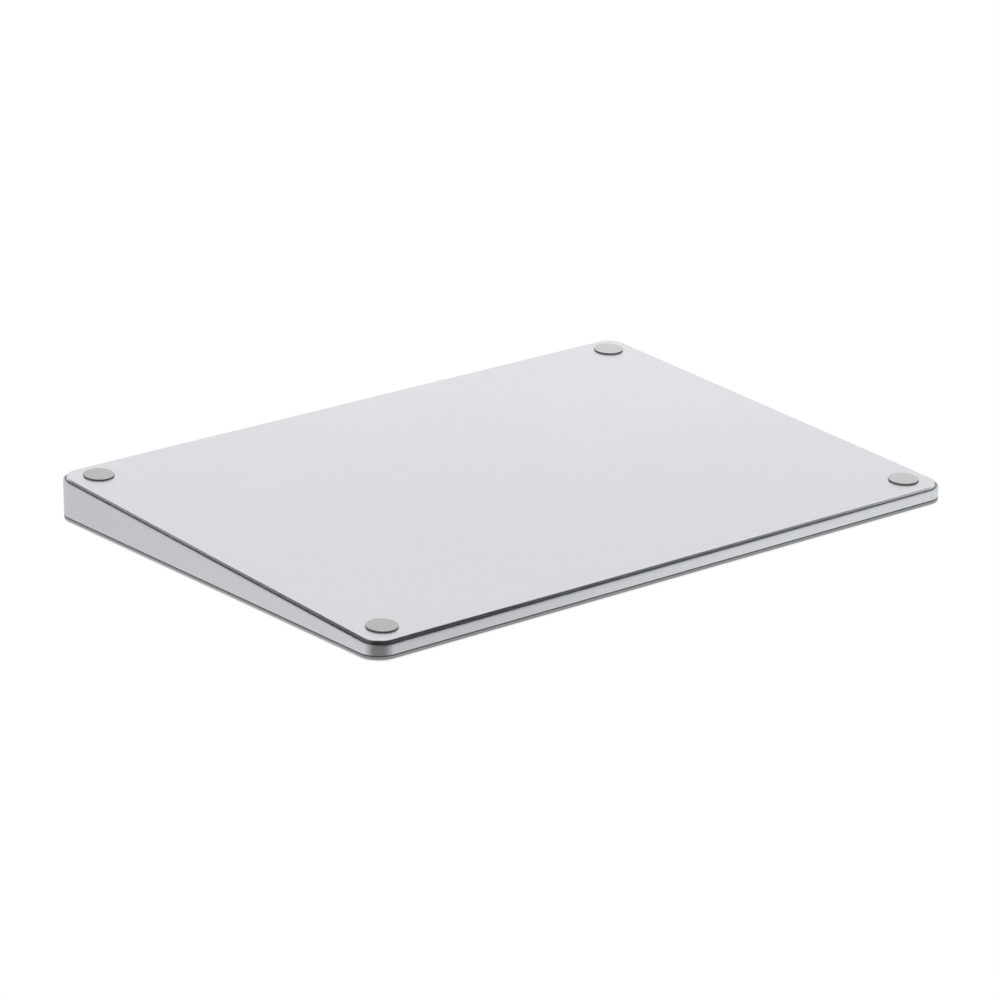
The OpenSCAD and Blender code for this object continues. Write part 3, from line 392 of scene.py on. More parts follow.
def object_place(tree, output="Object"):
    return put(tree, "ShaderNodeTexCoord").outputs[output]


def ramp(tree, value, low, high, kind="LINEAR"):
    """Runs from 0 at a low value to 1 at a high one."""
    settings = {"interpolation_type": kind}
    return put(tree, "ShaderNodeMapRange", settings, Value=value, From_Min=low, From_Max=high).outputs[0]


print("helpers:", [helper.__name__ for helper in (effect_group, object_place, ramp)])

# %% Group: fine grain
# how many times coarser the tone's noise is, and the part of its range that is spread from 0 to 1
BROADER, BROAD_LOW, BROAD_HIGH = 9.0, 0.3, 0.7
fine_grain, given, wanted = effect_group("fine_grain", {"Scale": 6000, "Stretch": 1}, ("Height", "Tone"))
stretched = vector(fine_grain, 1.0, given["Stretch"], 1.0)
spot = put(fine_grain, "ShaderNodeVectorMath", {"operation": "MULTIPLY"}, i0=object_place(fine_grain),
           i1=stretched).outputs[0]
fine = put(fine_grain, "ShaderNodeTexNoise", Vector=spot, Scale=given["Scale"], Detail=2.0)
broad = put(fine_grain, "ShaderNodeTexNoise", Vector=spot,
            Scale=calc(fine_grain, "DIVIDE", given["Scale"], BROADER), Detail=3.0)
fine_grain.links.new(fine.outputs[0], wanted["Height"])
fine_grain.links.new(ramp(fine_grain, broad.outputs[0], BROAD_LOW, BROAD_HIGH), wanted["Tone"])
print("group:", fine_grain.name)

# %% Groups: handling marks, tracks and faces
MARK_LOW, MARK_HIGH = 0.42, 0.66
touch_marks, given, wanted = effect_group("touch_marks", {"Scale": 30}, ("Mask",))
cloud = put(touch_marks, "ShaderNodeTexNoise", Vector=object_place(touch_marks), Scale=given["Scale"],
            Detail=4.0, Distortion=0.6)
touch_marks.links.new(ramp(touch_marks, cloud.outputs[0], MARK_LOW, MARK_HIGH, "SMOOTHSTEP"), wanted["Mask"])

track_sizes = {"Pitch": 0.0006, "Width": 0.4, "Along Y": 1}
track_rows, given, wanted = effect_group("track_rows", track_sizes, ("Mask",))
part = put(track_rows, "ShaderNodeSeparateXYZ", Vector=object_place(track_rows)).outputs
side_step = put(track_rows, "ShaderNodeMix", i0=given["Along Y"], i2=part["Y"], i3=part["X"]).outputs[0]
phase = calc(track_rows, "FRACT", calc(track_rows, "DIVIDE", side_step, given["Pitch"]))
track_rows.links.new(calc(track_rows, "LESS_THAN", phase, given["Width"]), wanted["Mask"])

piece_faces, given, wanted = effect_group("piece_faces", {"From": 0.25, "To": 0.75}, ("Up", "Down"))
facing = put(piece_faces, "ShaderNodeSeparateXYZ", Vector=object_place(piece_faces, "Normal")).outputs["Z"]
for label, towards in (("Up", facing), ("Down", times(piece_faces, facing, -1.0))):
    piece_faces.links.new(ramp(piece_faces, towards, given["From"], given["To"]), wanted[label])
print("groups:", [g.name for g in bpy.data.node_groups])


# %% Helpers that every finish uses
def effect(tree, group, **values):
    return put(tree, "ShaderNodeGroup", {"node_tree": group}, **values).outputs


def colours(tree, mask, first, second):
    """Mixes two colours, or a colour and a socket, by a mask."""
    first, second = (c if isinstance(c, bpy.types.NodeSocket) else (*c, 1) for c in (first, second))
    return put(tree, "ShaderNodeMix", {"data_type": "RGBA"}, i0=mask, i6=first, i7=second).outputs[2]


def between(tree, mask, low, high):
    return put(tree, "ShaderNodeMapRange", Value=mask, To_Min=low, To_Max=high).outputs[0]


def relief(tree, height, depth, strength=1.0):
    """Bumps a surface by a height, whose full depth is in mm."""
    return put(tree, "ShaderNodeBump", Height=height, Strength=strength, Distance=depth * MM).outputs[0]


def shaded(tree, **sockets):
    surface = put(tree, "ShaderNodeBsdfPrincipled", **sockets)
    put(tree, "ShaderNodeOutputMaterial", Surface=surface.outputs[0])


def paint(material, *names):
    """Gives a finish to CAD solids that keep their own shape."""
    for name in names:
        solids[name].material_slots[0].material = material


print("helpers:", [helper.__name__ for helper in (effect, colours, between, relief, shaded, paint)])

# %% [markdown]
# ## Blasted and anodised aluminium
# The cover and the frame are aluminium, blasted with fine beads and anodised silver. It could be drawn as
# a grey paint, but it is a metal: its tone comes from what it reflects, softened by a grain too fine to
# see. So the shader is fully metallic and rough, the grain gives a shallow relief and a slight change of
# tone, and faint handling marks change the roughness a little. The frame's colour is darker than the
# cover's, as painted shade on its walls.

# %% Aluminium of cover and frame
BLAST_GRAIN, BLAST_MARKS, BLAST_DEPTH, BLAST_STRENGTH = 7000.0, 26.0, 0.004, 0.6
BLAST_ROUGH, BLAST_WORN = 0.39, 0.36


def blasted_aluminium(name, light, dark):
    material, tree = empty_material(name)
    grain = effect(tree, fine_grain, Scale=BLAST_GRAIN)
    marks = effect(tree, touch_marks, Scale=BLAST_MARKS)
    shaded(tree, Base_Color=colours(tree, grain["Tone"], dark, light), Metallic=1.0,
           Roughness=between(tree, marks["Mask"], BLAST_ROUGH, BLAST_WORN),
           Normal=relief(tree, grain["Height"], BLAST_DEPTH, BLAST_STRENGTH))
    return material


cover_metal = blasted_aluminium("blasted_cover", light=(0.772, 0.779, 0.805), dark=(0.752, 0.759, 0.785))
# the frame's darker tone is painted shade: a shaded copy of the cover's metal
frame_metal_painted_shade = blasted_aluminium("blasted_frame_painted_shade", light=(0.630, 0.648, 0.668), dark=(0.610, 0.628, 0.648))
paint(cover_metal, "bottom_cover")
paint(frame_metal_painted_shade, "frame")
print("aluminium on", ["bottom_cover", "frame"])

# %% [markdown]
# ## Coated glass and rubber
# The glass is etched on its face and has a white coat behind, so it looks like white china on top; its
# edge shows no coat and is grey, and its underside is painted grey as painted shade for the gap where the
# wall shows it. A real glass shader would need the coat as a layer of its own; an opaque finish that
# follows the faces gives the same look and exports well. The feet are pale rubber; their moulded side is
# shinier, and its dark colour is painted shade.

# %% Glass
# the underside's grey is painted shade for the gap under the wall
GLASS_FACE, GLASS_SIDE, GLASS_BACK_PAINTED_SHADE = (0.82, 0.825, 0.838), (0.245, 0.25, 0.26), (0.42, 0.42, 0.425)
GLASS_MARKS, GLASS_GRAIN, GLASS_DEPTH, GLASS_STRENGTH = 22.0, 16000.0, 0.001, 0.5
GLASS_ROUGH, GLASS_WORN = 0.34, 0.30
glass_finish, tree = empty_material("white_backed_glass")
face = effect(tree, piece_faces, From=0.0, To=0.2)
marks = effect(tree, touch_marks, Scale=GLASS_MARKS)
grain = effect(tree, fine_grain, Scale=GLASS_GRAIN)
tone = colours(tree, face["Up"], GLASS_SIDE, GLASS_FACE)
tone = colours(tree, face["Down"], tone, GLASS_BACK_PAINTED_SHADE)
shaded(tree, Base_Color=tone, Roughness=between(tree, marks["Mask"], GLASS_ROUGH, GLASS_WORN),
       Normal=relief(tree, grain["Height"], GLASS_DEPTH, GLASS_STRENGTH))
print("finish:", glass_finish.name)

# %% Rubber of the feet
# the feet's dark side colour is painted shade, not the rubber's own tone
FOOT_LIGHT, FOOT_DARK, FOOT_SIDE_PAINTED_SHADE = (0.535, 0.535, 0.540), (0.505, 0.505, 0.510), (0.14, 0.14, 0.142)
FOOT_GRAIN, FOOT_DEPTH, FOOT_STRENGTH = 3500.0, 0.02, 0.5
FOOT_SIDE_ROUGH, FOOT_ROUGH = 0.35, 0.62
foot_finish, tree = empty_material("moulded_rubber")
face = effect(tree, piece_faces, From=0.35, To=0.85)
grain = effect(tree, fine_grain, Scale=FOOT_GRAIN)
speckle = colours(tree, grain["Tone"], FOOT_DARK, FOOT_LIGHT)
shaded(tree, Base_Color=colours(tree, face["Down"], FOOT_SIDE_PAINTED_SHADE, speckle),
       Roughness=between(tree, face["Down"], FOOT_SIDE_ROUGH, FOOT_ROUGH),
       Normal=relief(tree, grain["Height"], FOOT_DEPTH, FOOT_STRENGTH))
print("finish:", foot_finish.name)

# %% [markdown]
# ## Finishes of the inner pieces
# What the body holds is seen only when it is taken apart, yet each piece keeps the finish of its trade.
# Moulded and cast pieces differ in colour, gloss and grain alone, so one table makes them; the sheet
# metals have a grain drawn out in the rolling direction. Boards and flat cables get rows of tracks.

# %% Moulded, cast and rolled finishes
# colour, darker colour, metallic, roughness, grain scale, stretch, relief in mm, and the solids that take it
INNER = {
    "tacky_adhesive": ((0.13, 0.13, 0.13), (0.09, 0.09, 0.09), 0, 0.75, 2500, 1, 0.02,
                       ("cover_adhesive", "glass_bond", "battery_tapes")),
    "moulding_compound": ((0.036, 0.036, 0.040), (0.022, 0.022, 0.026), 0, 0.48, 9000, 1, 0.006,
                          ("touch_chips", "board_chips", "inlet_tongue", "switch_body", "switch_lever",
                           "antenna")),
    "ivory_plastic": ((0.80, 0.76, 0.64), (0.75, 0.70, 0.58), 0, 0.42, 5000, 1, 0.004,
                      ("touch_connector", "board_connectors")),
    "soft_iron": ((0.31, 0.31, 0.33), (0.22, 0.22, 0.24), 1, 0.52, 1500, 12, 0.008,
                  ("attraction_plate", "haptic_core")),
    "rolled_steel": ((0.66, 0.67, 0.69), (0.56, 0.57, 0.59), 1, 0.30, 900, 18, 0.003,
                     ("haptic_bracket", "shield_cans")),
    "soft_gel": ((0.25, 0.40, 0.66), (0.18, 0.30, 0.56), 0, 0.22, 700, 1, 0.01, ("gel_pads",)),
    "turned_steel": ((0.50, 0.50, 0.52), (0.38, 0.38, 0.40), 1, 0.34, 6000, 5, 0.004,
                     ("flexure_screws", "haptic_screws", "board_screws")),
    "foil_pouch": ((0.40, 0.41, 0.43), (0.31, 0.32, 0.34), 1, 0.36, 420, 1, 0.12, ("battery",)),
    "moulded_plastic": ((0.82, 0.82, 0.83), (0.77, 0.77, 0.78), 0, 0.38, 6000, 1, 0.004, ("switch_carrier",)),
    "gold_plate": ((0.88, 0.68, 0.30), (0.80, 0.58, 0.22), 1, 0.24, 9000, 1, 0.001, ()),
    "enamelled_copper": ((0.74, 0.38, 0.17), (0.62, 0.29, 0.12), 1, 0.32, 5000, 1, 0.002, ()),
    "green_film": ((0.10, 0.64, 0.21), (0.07, 0.54, 0.16), 0, 0.20, 5000, 1, 0.002, ("on_marker",)),
}
ROUGH_CHANGE = 0.05
finishes = {}
for name, (light, dark, metallic, rough, scale, stretch, depth, nodes) in INNER.items():
    material, tree = empty_material(name)
    finishes[name] = material
    grain = effect(tree, fine_grain, Scale=float(scale), Stretch=float(stretch))
    shaded(tree, Base_Color=colours(tree, grain["Tone"], dark, light), Metallic=float(metallic),
           Roughness=between(tree, grain["Tone"], rough + ROUGH_CHANGE, rough - ROUGH_CHANGE),
           Normal=relief(tree, grain["Height"], depth))
    paint(material, *nodes)
print("inner finishes:", len(INNER))

# %% Boards and flat cables with tracks
GREEN, GREEN_TRACK = (0.020, 0.150, 0.065), (0.045, 0.240, 0.095)
AMBER, AMBER_TRACK = (0.560, 0.250, 0.045), (0.700, 0.360, 0.120)
# ground, tracks, pitch in mm, the tracks' share of it, 1 for tracks along Y, roughness, and the solids
TRACKED = {
    "sensor_board": (GREEN, GREEN_TRACK, 4.6, 0.88, 1.0, 0.40, ("touch_board",)),
    "solder_mask": (GREEN, GREEN_TRACK, 0.9, 0.35, 0.0, 0.38, ("main_board", "battery_board")),
    "cable_film_long": (AMBER, AMBER_TRACK, 0.42, 0.5, 1.0, 0.34,
                        ("sensor_cable_left", "sensor_cable_right", "haptic_cable", "battery_cable",
                         "touch_cable")),
    "gauge_film": (AMBER, AMBER_TRACK, 0.24, 0.5, 0.0, 0.34, ("strain_gauges",)),
}
TRACK_GRAIN, TRACK_DEPTH, TRACK_STRENGTH = 4000.0, 0.02, 0.6
GROUND_SHADE, TRACK_SMOOTHER = 0.85, 0.1
for name, (ground, track, pitch, width, along_y, rough, nodes) in TRACKED.items():
    material, tree = empty_material(name)
    rows = effect(tree, track_rows, Pitch=pitch * MM, Width=width, Along_Y=along_y)
    grain = effect(tree, fine_grain, Scale=TRACK_GRAIN)
    ground = colours(tree, grain["Tone"], [GROUND_SHADE * c for c in ground], ground)
    shaded(tree, Base_Color=colours(tree, rows["Mask"], ground, track),
           Roughness=between(tree, rows["Mask"], rough, rough - TRACK_SMOOTHER),
           Normal=relief(tree, rows["Mask"], TRACK_DEPTH, TRACK_STRENGTH))
    paint(material, *nodes)
print("tracks on", sum(len(row[-1]) for row in TRACKED.values()), "solids")

# %% [markdown]
# ## Pieces made by Geometry Nodes
# Feet, glass, knob, inlet, winding and sprung plates all follow a rule: an outline is filled, drawn up to
# a thickness, and repeated or stepped. They could be pushed together point by point. A Geometry Nodes tree
# states the rule instead, with its sizes as named inputs, so one tree makes every copy. The result is
# turned into a plain mesh and set in its place, because the exported part keeps no live trees.

# %% Helpers: a tree and what goes into it
MERGE_WITHIN = 0.0001 * MM


def form_tree(name, *sizes):
    tree = bpy.data.node_groups.new(name, "GeometryNodeTree")
    tree.is_modifier = True
    tree.interface.new_socket("Shape", in_out="OUTPUT", socket_type="NodeSocketGeometry")
    for size in sizes:
        tree.interface.new_socket(size, in_out="INPUT", socket_type="NodeSocketFloat")
    tree.interface.new_socket("Finish", in_out="INPUT", socket_type="NodeSocketMaterial")
    return tree, tree.nodes.new("NodeGroupInput").outputs


def end_tree(tree, shape, given):
    real = put(tree, "GeometryNodeRealizeInstances", i0=shape).outputs[0]
    painted = put(tree, "GeometryNodeSetMaterial", Geometry=real, Material=given["Finish"]).outputs[0]
    tree.links.new(painted, tree.nodes.new("NodeGroupOutput").inputs[0])


def joined(tree, *shapes):
    node = put(tree, "GeometryNodeJoinGeometry")
    for shape in shapes:
        tree.links.new(shape, node.inputs[0])
    return node.outputs[0]


def moved(tree, shape, x=0.0, y=0.0, z=0.0):
    return put(tree, "GeometryNodeTransform", Geometry=shape, Translation=vector(tree, x, y, z)).outputs[0]


def repeated(tree, shape, count, start, step, turn=(0, 0, 0)):
    """Places a shape on each point of a straight row."""
    row = put(tree, "GeometryNodeMeshLine", {"mode": "OFFSET"}, Count=count, Start_Location=start,
              Offset=step).outputs[0]
    return put(tree, "GeometryNodeInstanceOnPoints", Points=row, Instance=shape, Rotation=turn).outputs[0]


print("helpers:", [helper.__name__ for helper in (form_tree, end_tree, joined, moved, repeated)])


# %% Helpers: outlines, sheets and blocks
def circle(tree, radius, sides):
    return put(tree, "GeometryNodeCurvePrimitiveCircle", Resolution=sides, Radius=radius).outputs[0]


def rectangle(tree, width, height):
    return put(tree, "GeometryNodeCurvePrimitiveQuadrilateral", Width=width, Height=height).outputs[0]


def rounded(tree, width, height, radius, count):
    return put(tree, "GeometryNodeFilletCurve", {"mode": "POLY"}, Curve=rectangle(tree, width, height),
               Count=count, Radius=radius, Limit_Radius=True).outputs[0]


def filled(tree, outline):
    return put(tree, "GeometryNodeFillCurve", {"mode": "NGONS"}, Curve=outline).outputs[0]


def drawn_up(tree, mesh, height, top=None):
    """Draws a sheet, or its selected top, up by a height; gives the mesh and the new top."""
    chosen = {"Selection": top} if top else {}
    node = put(tree, "GeometryNodeExtrudeMesh", {"mode": "FACES"}, Mesh=mesh, Offset_Scale=height,
               Individual=False, **chosen)
    return node.outputs["Mesh"], node.outputs["Top"]


def closed(tree, walls, sheet):
    below = put(tree, "GeometryNodeFlipFaces", Mesh=sheet).outputs[0]
    whole = joined(tree, walls, below)
    return put(tree, "GeometryNodeMergeByDistance", Geometry=whole, Distance=MERGE_WITHIN).outputs[0]


def thickened(tree, sheet, thickness):
    return closed(tree, drawn_up(tree, sheet, thickness)[0], sheet)


def slab(tree, outline, thickness):
    return thickened(tree, filled(tree, outline), thickness)


def block(tree, x, y, z):
    return put(tree, "GeometryNodeMeshCube", Size=vector(tree, x, y, z)).outputs[0]


print("helpers:", [helper.__name__ for helper in (circle, rectangle, rounded, filled, slab, block)])

# %% Helper: a finished piece
SHARP_FROM, BEVEL_FROM = math.radians(32), math.radians(50)


def plain_mesh(name, piece):
    """Turns what the modifiers make into the piece's own mesh."""
    graph = bpy.context.evaluated_depsgraph_get()
    mesh = bpy.data.meshes.new_from_object(piece.evaluated_get(graph), depsgraph=graph)
    piece.modifiers.clear()
    start, piece.data = piece.data, mesh
    bpy.data.meshes.remove(start)
    mesh.name = name
    return mesh


def made_piece(name, tree, sizes, finish, place, body, slot, nodes, edge=None, bend=None):
    """Runs a tree with its sizes, rounds its edges and sets the mesh in its place.

    The piece rides on one body; where bend is given, its points are not used: the mesh is baked in place and
    rides on no body.
    """
    piece = bpy.data.objects.new(name, bpy.data.meshes.new(name + "_start"))
    scene.collection.objects.link(piece)
    form = piece.modifiers.new("form", "NODES")
    form.node_group = tree
    for socket in tree.interface.items_tree:
        if socket.in_out == "INPUT":
            form[socket.identifier] = finish if socket.name == "Finish" else sizes[socket.name]
    if edge:
        bevel = piece.modifiers.new("edge", "BEVEL")
        bevel.limit_method, bevel.angle_limit = edge.get("limit", "ANGLE"), BEVEL_FROM
        bevel.width, bevel.segments = edge["width"] * MM, edge["segments"]
        bevel.use_clamp_overlap = False
    mesh = plain_mesh(name, piece)
    mesh.transform(place)
    mesh.shade_smooth()
    mesh.set_sharp_from_angle(angle=SHARP_FROM)
    if bend:
        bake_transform(piece)
    else:
        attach(piece, body)
    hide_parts(*nodes)
    shell = bmesh.new()
    shell.from_mesh(mesh)
    print(name, len(mesh.polygons), "faces,", round(shell.calc_volume(signed=True) / MM ** 3, 2), "mm3,",
          sum(not e.is_manifold for e in shell.edges), "open edges")
    shell.free()


def in_metres(**sizes):
    return {name.replace("_", " "): size * MM for name, size in sizes.items()}


print("helpers:", [helper.__name__ for helper in (plain_mesh, made_piece, in_metres)])

# %% [markdown]
# ## Four turned feet
# Each foot is a low rubber disc in a shallow seat of the cover. It has a soft lower edge, a straight side
# and a narrower neck where it goes into the seat. A lathe would turn it; here a disc is drawn up in three
# steps, its shoulder is pulled in, and a bevel softens the edges.

# %% Feet
# radius, depth in the seat, the neck's share of the radius, the shoulder's height and its gap to the cover
FOOT_R, FOOT_SEAT, FOOT_NECK, FOOT_SHOULDER, SHOULDER_BELOW = 3.4, 0.2, 0.97, 0.05, 0.05
FOOT_SIDES = 96
foot_tree, given = form_tree("turned_foot", "Radius", "Side", "Shoulder", "Neck", "Neck Scale")
disc = filled(foot_tree, circle(foot_tree, given["Radius"], FOOT_SIDES))
walls, top = drawn_up(foot_tree, disc, given["Side"])
walls, top = drawn_up(foot_tree, walls, given["Shoulder"], top)
walls = put(foot_tree, "GeometryNodeScaleElements", Geometry=walls, Selection=top,
            Scale=given["Neck Scale"]).outputs[0]
walls = drawn_up(foot_tree, walls, given["Neck"], top)[0]
end_tree(foot_tree, closed(foot_tree, walls, disc), given)

foot_side = FOOT_H - FOOT_SHOULDER - SHOULDER_BELOW
foot_sizes = in_metres(Radius=FOOT_R, Side=foot_side, Shoulder=FOOT_SHOULDER,
                       Neck=FOOT_H + FOOT_SEAT - foot_side - FOOT_SHOULDER)
foot_sizes["Neck Scale"] = FOOT_NECK
for corner in ("front_left", "front_right", "rear_left", "rear_right"):
    low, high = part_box("foot_" + corner)
    place = Matrix.Translation(((low[0] + high[0]) / 2, (low[1] + high[1]) / 2, 0))
    made_piece("rubber_foot_" + corner, foot_tree, foot_sizes, foot_finish, place, "base", "foot_rubber",
               ["foot_" + corner], {"width": 0.15, "segments": 5})

# %% [markdown]
# ## The touch glass
# The glass is one flat slab with round corners, as wide and deep as the body. Only the edge round its
# touch face is rounded. A plain bevel would round both edges, so the tree marks the upper edges with a
# bevel weight, and the bevel follows that mark.

# %% Glass slab
# points at a corner, and the share of the thickness above which an edge is an upper one
GLASS_CORNER_N, UPPER_SHARE = 24, 0.9
glass_tree, given = form_tree("glass_slab", "Width", "Depth", "Corner", "Thickness")
outline = rounded(glass_tree, given["Width"], given["Depth"], given["Corner"], GLASS_CORNER_N)
sheet = slab(glass_tree, outline, given["Thickness"])
spot = put(glass_tree, "GeometryNodeInputPosition").outputs[0]
height = put(glass_tree, "ShaderNodeSeparateXYZ", Vector=spot).outputs["Z"]
upper = calc(glass_tree, "GREATER_THAN", height, times(glass_tree, given["Thickness"], UPPER_SHARE))
marked = put(glass_tree, "GeometryNodeStoreNamedAttribute", {"data_type": "FLOAT", "domain": "EDGE"},
             Geometry=sheet, Name="bevel_weight_edge", Value=upper).outputs[0]
end_tree(glass_tree, marked, given)
glass_sizes = in_metres(Width=BODY_W, Depth=BODY_D, Corner=CORNER_R, Thickness=GLASS_T)
made_piece("coated_touch_glass", glass_tree, glass_sizes, glass_finish,
           SLOPED @ Matrix.Translation((0, 0, -GLASS_T * MM)), "touch_plate", "coated_glass", ["touch_glass"],
           {"width": GLASS_EDGE, "segments": 8, "limit": "WEIGHT"})

# %% [markdown]
# ## The rear wall: charging inlet and power knob
# The rear wall holds a standard charging inlet, an oval steel shell with a tongue and two rows of twelve
# gold contacts, and the sliding power knob with three grip grooves. Each is an outline on the wall's face,
# drawn inwards, so `rear_place` turns the drawing plane to look at that face. The contacts repeat, so one
# rounded strip is placed along two lines. The grooves are cut by bars, as a milling cutter would.

# %% Inlet shell
OVAL_N = 20
INLET_W, INLET_H, INLET_DEPTH, SHELL_T, SHELL_L, MOUTH_IN = 8.34, 2.56, 5.5, 0.3, 7.3, 0.25


def rear_place(x, depth, inside):
    """Matrix for a drawing on the rear wall: x across, y up, z inwards from a distance behind the face."""
    spot = Matrix.Translation(Vector((x, BODY_D / 2 - inside, -depth)) * MM)
    return SLOPED @ spot @ Matrix.Rotation(math.pi / 2, 4, "X")


def oval(tree, width, height):
    return rounded(tree, width, height, times(tree, height, 0.5), OVAL_N)


shell_tree, given = form_tree("oval_shell", "Width", "Height", "Wall", "Length")
twice = times(shell_tree, given["Wall"], 2.0)
outer_w, outer_h = (calc(shell_tree, "ADD", given[side], twice) for side in ("Width", "Height"))
inner = oval(shell_tree, given["Width"], given["Height"])
outer = oval(shell_tree, outer_w, outer_h)
end_tree(shell_tree, slab(shell_tree, joined(shell_tree, outer, inner), given["Length"]), given)
shell_sizes = in_metres(Width=INLET_W, Height=INLET_H, Wall=SHELL_T, Length=SHELL_L)
made_piece("oval_inlet_shell", shell_tree, shell_sizes, finishes["rolled_steel"],
           rear_place(0, INLET_DEPTH, MOUTH_IN), "base", "spring_steel", ["inlet_shell"],
           {"width": 0.1, "segments": 4})

# %% Inlet contacts
BLADE_T, BLADE_IN = 0.7, 1.0
CONTACT_N, CONTACT_PITCH, CONTACT_W, CONTACT_L, CONTACT_T, CONTACT_IN = 12, 0.5, 0.25, 3.4, 0.04, 0.4
CONTACT_ROUND, CONTACT_CORNER_N = 0.4, 4
contact_tree, given = form_tree("contact_rows", "Pitch", "Width", "Length", "Thickness", "Blade", "Start")
corner_r = times(contact_tree, given["Width"], CONTACT_ROUND)
outline = rounded(contact_tree, given["Width"], given["Length"], corner_r, CONTACT_CORNER_N)
strip = slab(contact_tree, outline, given["Thickness"])
half_blade = times(contact_tree, given["Blade"], 0.5)
above = calc(contact_tree, "ADD", half_blade, given["Thickness"])
below = times(contact_tree, half_blade, -1.0)
first = times(contact_tree, given["Pitch"], -(CONTACT_N - 1) / 2)
middle = calc(contact_tree, "ADD", given["Start"], times(contact_tree, given["Length"], 0.5))
step = vector(contact_tree, given["Pitch"])
rows = [repeated(contact_tree, strip, CONTACT_N, vector(contact_tree, first, offset, middle), step,
                 turn=(math.pi / 2, 0, 0)) for offset in (above, below)]
end_tree(contact_tree, joined(contact_tree, *rows), given)
contact_sizes = in_metres(Pitch=CONTACT_PITCH, Width=CONTACT_W, Length=CONTACT_L, Thickness=CONTACT_T,
                          Blade=BLADE_T, Start=BLADE_IN + CONTACT_IN)
made_piece("gold_inlet_contacts", contact_tree, contact_sizes, finishes["gold_plate"],
           rear_place(0, INLET_DEPTH, MOUTH_IN), "base", "gold", ["inlet_contacts"])

# %% Power knob
KNOB_X, KNOB_IN = 26.8, 0.1
# number of grooves, and the share of the plate's thickness at which the stem starts
GROOVES, STEM_FROM = 3, 0.9
knob_tree, given = form_tree("grooved_knob", "Length", "Height", "Thickness", "Groove Pitch", "Groove Width",
                             "Groove Length", "Groove Depth", "Stem Width", "Stem Height", "Stem Length")
plate = slab(knob_tree, oval(knob_tree, given["Length"], given["Height"]), given["Thickness"])
stem_middle = calc(knob_tree, "ADD", times(knob_tree, given["Stem Length"], 0.5),
                   times(knob_tree, given["Thickness"], STEM_FROM))
stem = block(knob_tree, given["Stem Width"], given["Stem Height"], given["Stem Length"])
stem = moved(knob_tree, stem, z=stem_middle)
whole = put(knob_tree, "GeometryNodeMeshBoolean", {"operation": "UNION", "solver": "EXACT"}, Mesh_2=plate)
knob_tree.links.new(stem, whole.inputs["Mesh 2"])
bar = block(knob_tree, given["Groove Width"], given["Groove Length"],
            times(knob_tree, given["Groove Depth"], 2.0))
first = times(knob_tree, given["Groove Pitch"], -(GROOVES - 1) / 2)
bars = repeated(knob_tree, bar, GROOVES, vector(knob_tree, first), vector(knob_tree, given["Groove Pitch"]))
bars = put(knob_tree, "GeometryNodeRealizeInstances", i0=bars).outputs[0]
cut = put(knob_tree, "GeometryNodeMeshBoolean", {"operation": "DIFFERENCE", "solver": "EXACT"},
          Mesh_1=whole.outputs[0], Mesh_2=bars).outputs[0]
end_tree(knob_tree, cut, given)
knob_sizes = in_metres(Length=4.4, Height=2.4, Thickness=0.5, Groove_Pitch=0.6, Groove_Width=0.25,
                       Groove_Length=1.44, Groove_Depth=0.15, Stem_Width=2, Stem_Height=1.5, Stem_Length=1.76)
made_piece("grooved_power_knob", knob_tree, knob_sizes, finishes["moulded_plastic"],
           rear_place(KNOB_X, INLET_DEPTH, KNOB_IN), "power_slider", "knob_plastic", ["power_knob"],
           {"width": 0.05, "segments": 3})

# %% [markdown]
# ## The haptic engine's winding
# The coil is fifty turns of enamelled wire round the core's middle leg. One long spiral would do, but its
# ends would have to be led away. A turn is a rounded loop, so the tree sweeps a wire round one loop and
# places it fifty times along the leg; two bars stand for the turns that lie below at the leg's edges.

# %% Coil
WIRE, TURNS = 0.4, 50
# radius of the drawn wire, and how much narrower and lower a bar is than its room, as shares of the wire
WIRE_SHARE, BAR_NARROWER, BAR_LOWER = 0.49, 1.05, 2.02
WIRE_SIDES, LOOP_CORNER_N = 10, 5
coil_tree, given = form_tree("wire_coil", "Width", "Height", "Wire", "Leg Width", "Length")


def less(a, b):
    return calc(coil_tree, "SUBTRACT", a, b)


wire = given["Wire"]
half_wire = times(coil_tree, wire, WIRE_SHARE)
loop = rounded(coil_tree, less(given["Width"], wire), less(given["Height"], wire), half_wire, LOOP_CORNER_N)
section = circle(coil_tree, half_wire, WIRE_SIDES)
turn = put(coil_tree, "GeometryNodeCurveToMesh", Curve=loop, Profile_Curve=section).outputs[0]
start = times(coil_tree, less(given["Length"], wire), -0.5)
turns = repeated(coil_tree, turn, TURNS, vector(coil_tree, z=start), vector(coil_tree, z=wire))
side_w = times(coil_tree, less(given["Width"], given["Leg Width"]), 0.5)
bar = block(coil_tree, less(side_w, times(coil_tree, wire, BAR_NARROWER)),
            less(given["Height"], times(coil_tree, wire, BAR_LOWER)), given["Length"])
offset = times(coil_tree, calc(coil_tree, "ADD", given["Leg Width"], less(side_w, wire)), 0.5)
bars = repeated(coil_tree, bar, 2, vector(coil_tree, times(coil_tree, offset, -1.0)),
                vector(coil_tree, times(coil_tree, offset, 2.0)))
end_tree(coil_tree, joined(coil_tree, turns, bars), given)
low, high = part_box("haptic_coil")
along_leg = Matrix.Rotation(math.pi / 2, 4, "Z") @ Matrix.Rotation(math.pi / 2, 4, "X")
place = Matrix.Translation((Vector(low) + Vector(high)) / 2) @ TILT @ along_leg
coil_sizes = in_metres(Width=12, Height=2.4, Wire=WIRE, Leg_Width=6, Length=20)
made_piece("wound_haptic_coil", coil_tree, coil_sizes, finishes["enamelled_copper"], place, "base", "copper",
           ["haptic_coil"])
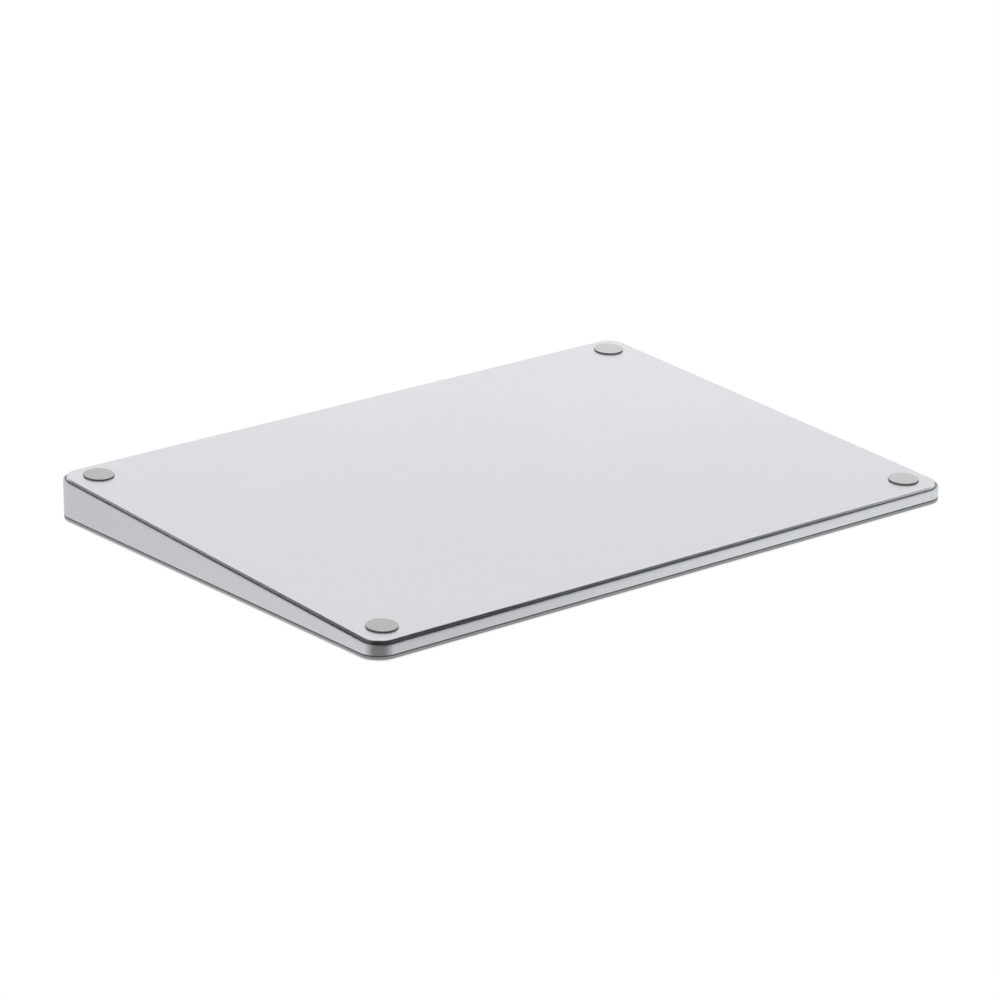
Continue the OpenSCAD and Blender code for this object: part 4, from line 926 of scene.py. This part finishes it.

# %% [markdown]
# ## The force sensors' sprung plates
# Under each corner of the touch board a stamped steel plate is screwed to the frame, and a tongue that is
# cut free in its middle carries the gel pad. A press bends the tongue by a fraction of a millimetre, while
# the plate round it stays. One rigid plate would let the pad sink into it, so plate and tongue are two
# pieces; the tongue is set in the plate's window, baked in place, and rides on no body.

# %% Flexure plates
FLEXURE_X, FLEXURE_Y, FLEXURE_T, FLEXURE_DEPTH = 63.0, 40.45, 0.4, 2.6
TONGUE_ROOT, TONGUE_L, TONGUE_W, TONGUE_SLOT = -5.0, 13.0, 8.0, 0.8
PLATE_CORNER_N, HOLE_SIDES = 12, 32
plate_tree, given = form_tree("sprung_plate", "Length", "Width", "Corner", "Shift", "Window Length",
                              "Window Width", "Window Shift", "Hole Radius", "Hole X", "Hole Y", "Thickness")
outer = rounded(plate_tree, given["Length"], given["Width"], given["Corner"], PLATE_CORNER_N)
window = rectangle(plate_tree, given["Window Length"], given["Window Width"])
hole = circle(plate_tree, given["Hole Radius"], HOLE_SIDES)
holes = [moved(plate_tree, hole, given["Hole X"], times(plate_tree, given["Hole Y"], side))
         for side in (-1.0, 1.0)]
outline = joined(plate_tree, moved(plate_tree, outer, given["Shift"]),
                 moved(plate_tree, window, given["Window Shift"]), *holes)
end_tree(plate_tree, slab(plate_tree, outline, given["Thickness"]), given)
window_l = TONGUE_L + TONGUE_SLOT
plate_sizes = in_metres(Length=23, Width=16, Corner=2, Shift=0.5, Window_Length=window_l,
                        Window_Width=TONGUE_W + 2 * TONGUE_SLOT, Window_Shift=TONGUE_ROOT + window_l / 2,
                        Hole_Radius=0.73, Hole_X=-8, Hole_Y=5, Thickness=FLEXURE_T)
print("plate window", round(window_l, 2), "mm long")

# %% Flexure tongues, and both pieces at each corner
GAUGE_END, PAD_START, TONGUE_ROWS = -1.4, 1.6, 40
tongue_tree, given = form_tree("sprung_tongue", "Length", "Width", "Root", "Thickness")
sheet = put(tongue_tree, "GeometryNodeMeshGrid", Size_X=given["Length"], Size_Y=given["Width"],
            Vertices_X=TONGUE_ROWS, Vertices_Y=2).outputs[0]
middle = calc(tongue_tree, "ADD", given["Root"], times(tongue_tree, given["Length"], 0.5))
end_tree(tongue_tree, thickened(tongue_tree, moved(tongue_tree, sheet, middle), given["Thickness"]), given)
tongue_sizes = in_metres(Length=TONGUE_L, Width=TONGUE_W, Root=TONGUE_ROOT, Thickness=FLEXURE_T)

for across_side, sx in (("left", -1), ("right", 1)):
    for along_side, sy in (("front", -1), ("rear", 1)):
        corner = along_side + "_" + across_side
        spot = Vector((sx * FLEXURE_X, sy * FLEXURE_Y, -FLEXURE_DEPTH)) * MM
        place = SLOPED @ Matrix.Translation(spot) @ Matrix.Rotation(math.pi if sx < 0 else 0, 4, "Z")
        bend = [place @ Vector((x * MM, 0, 0)) for x in (GAUGE_END, PAD_START)]
        steel, node = finishes["rolled_steel"], ["flexure_" + corner]
        made_piece("flexure_plate_" + corner, plate_tree, plate_sizes, steel, place,
                   "base", "spring_steel", node)
        made_piece("flexure_tongue_" + corner, tongue_tree, tongue_sizes, steel, place,
                   ("base", "press_stage"), "spring_steel", node, bend=bend)
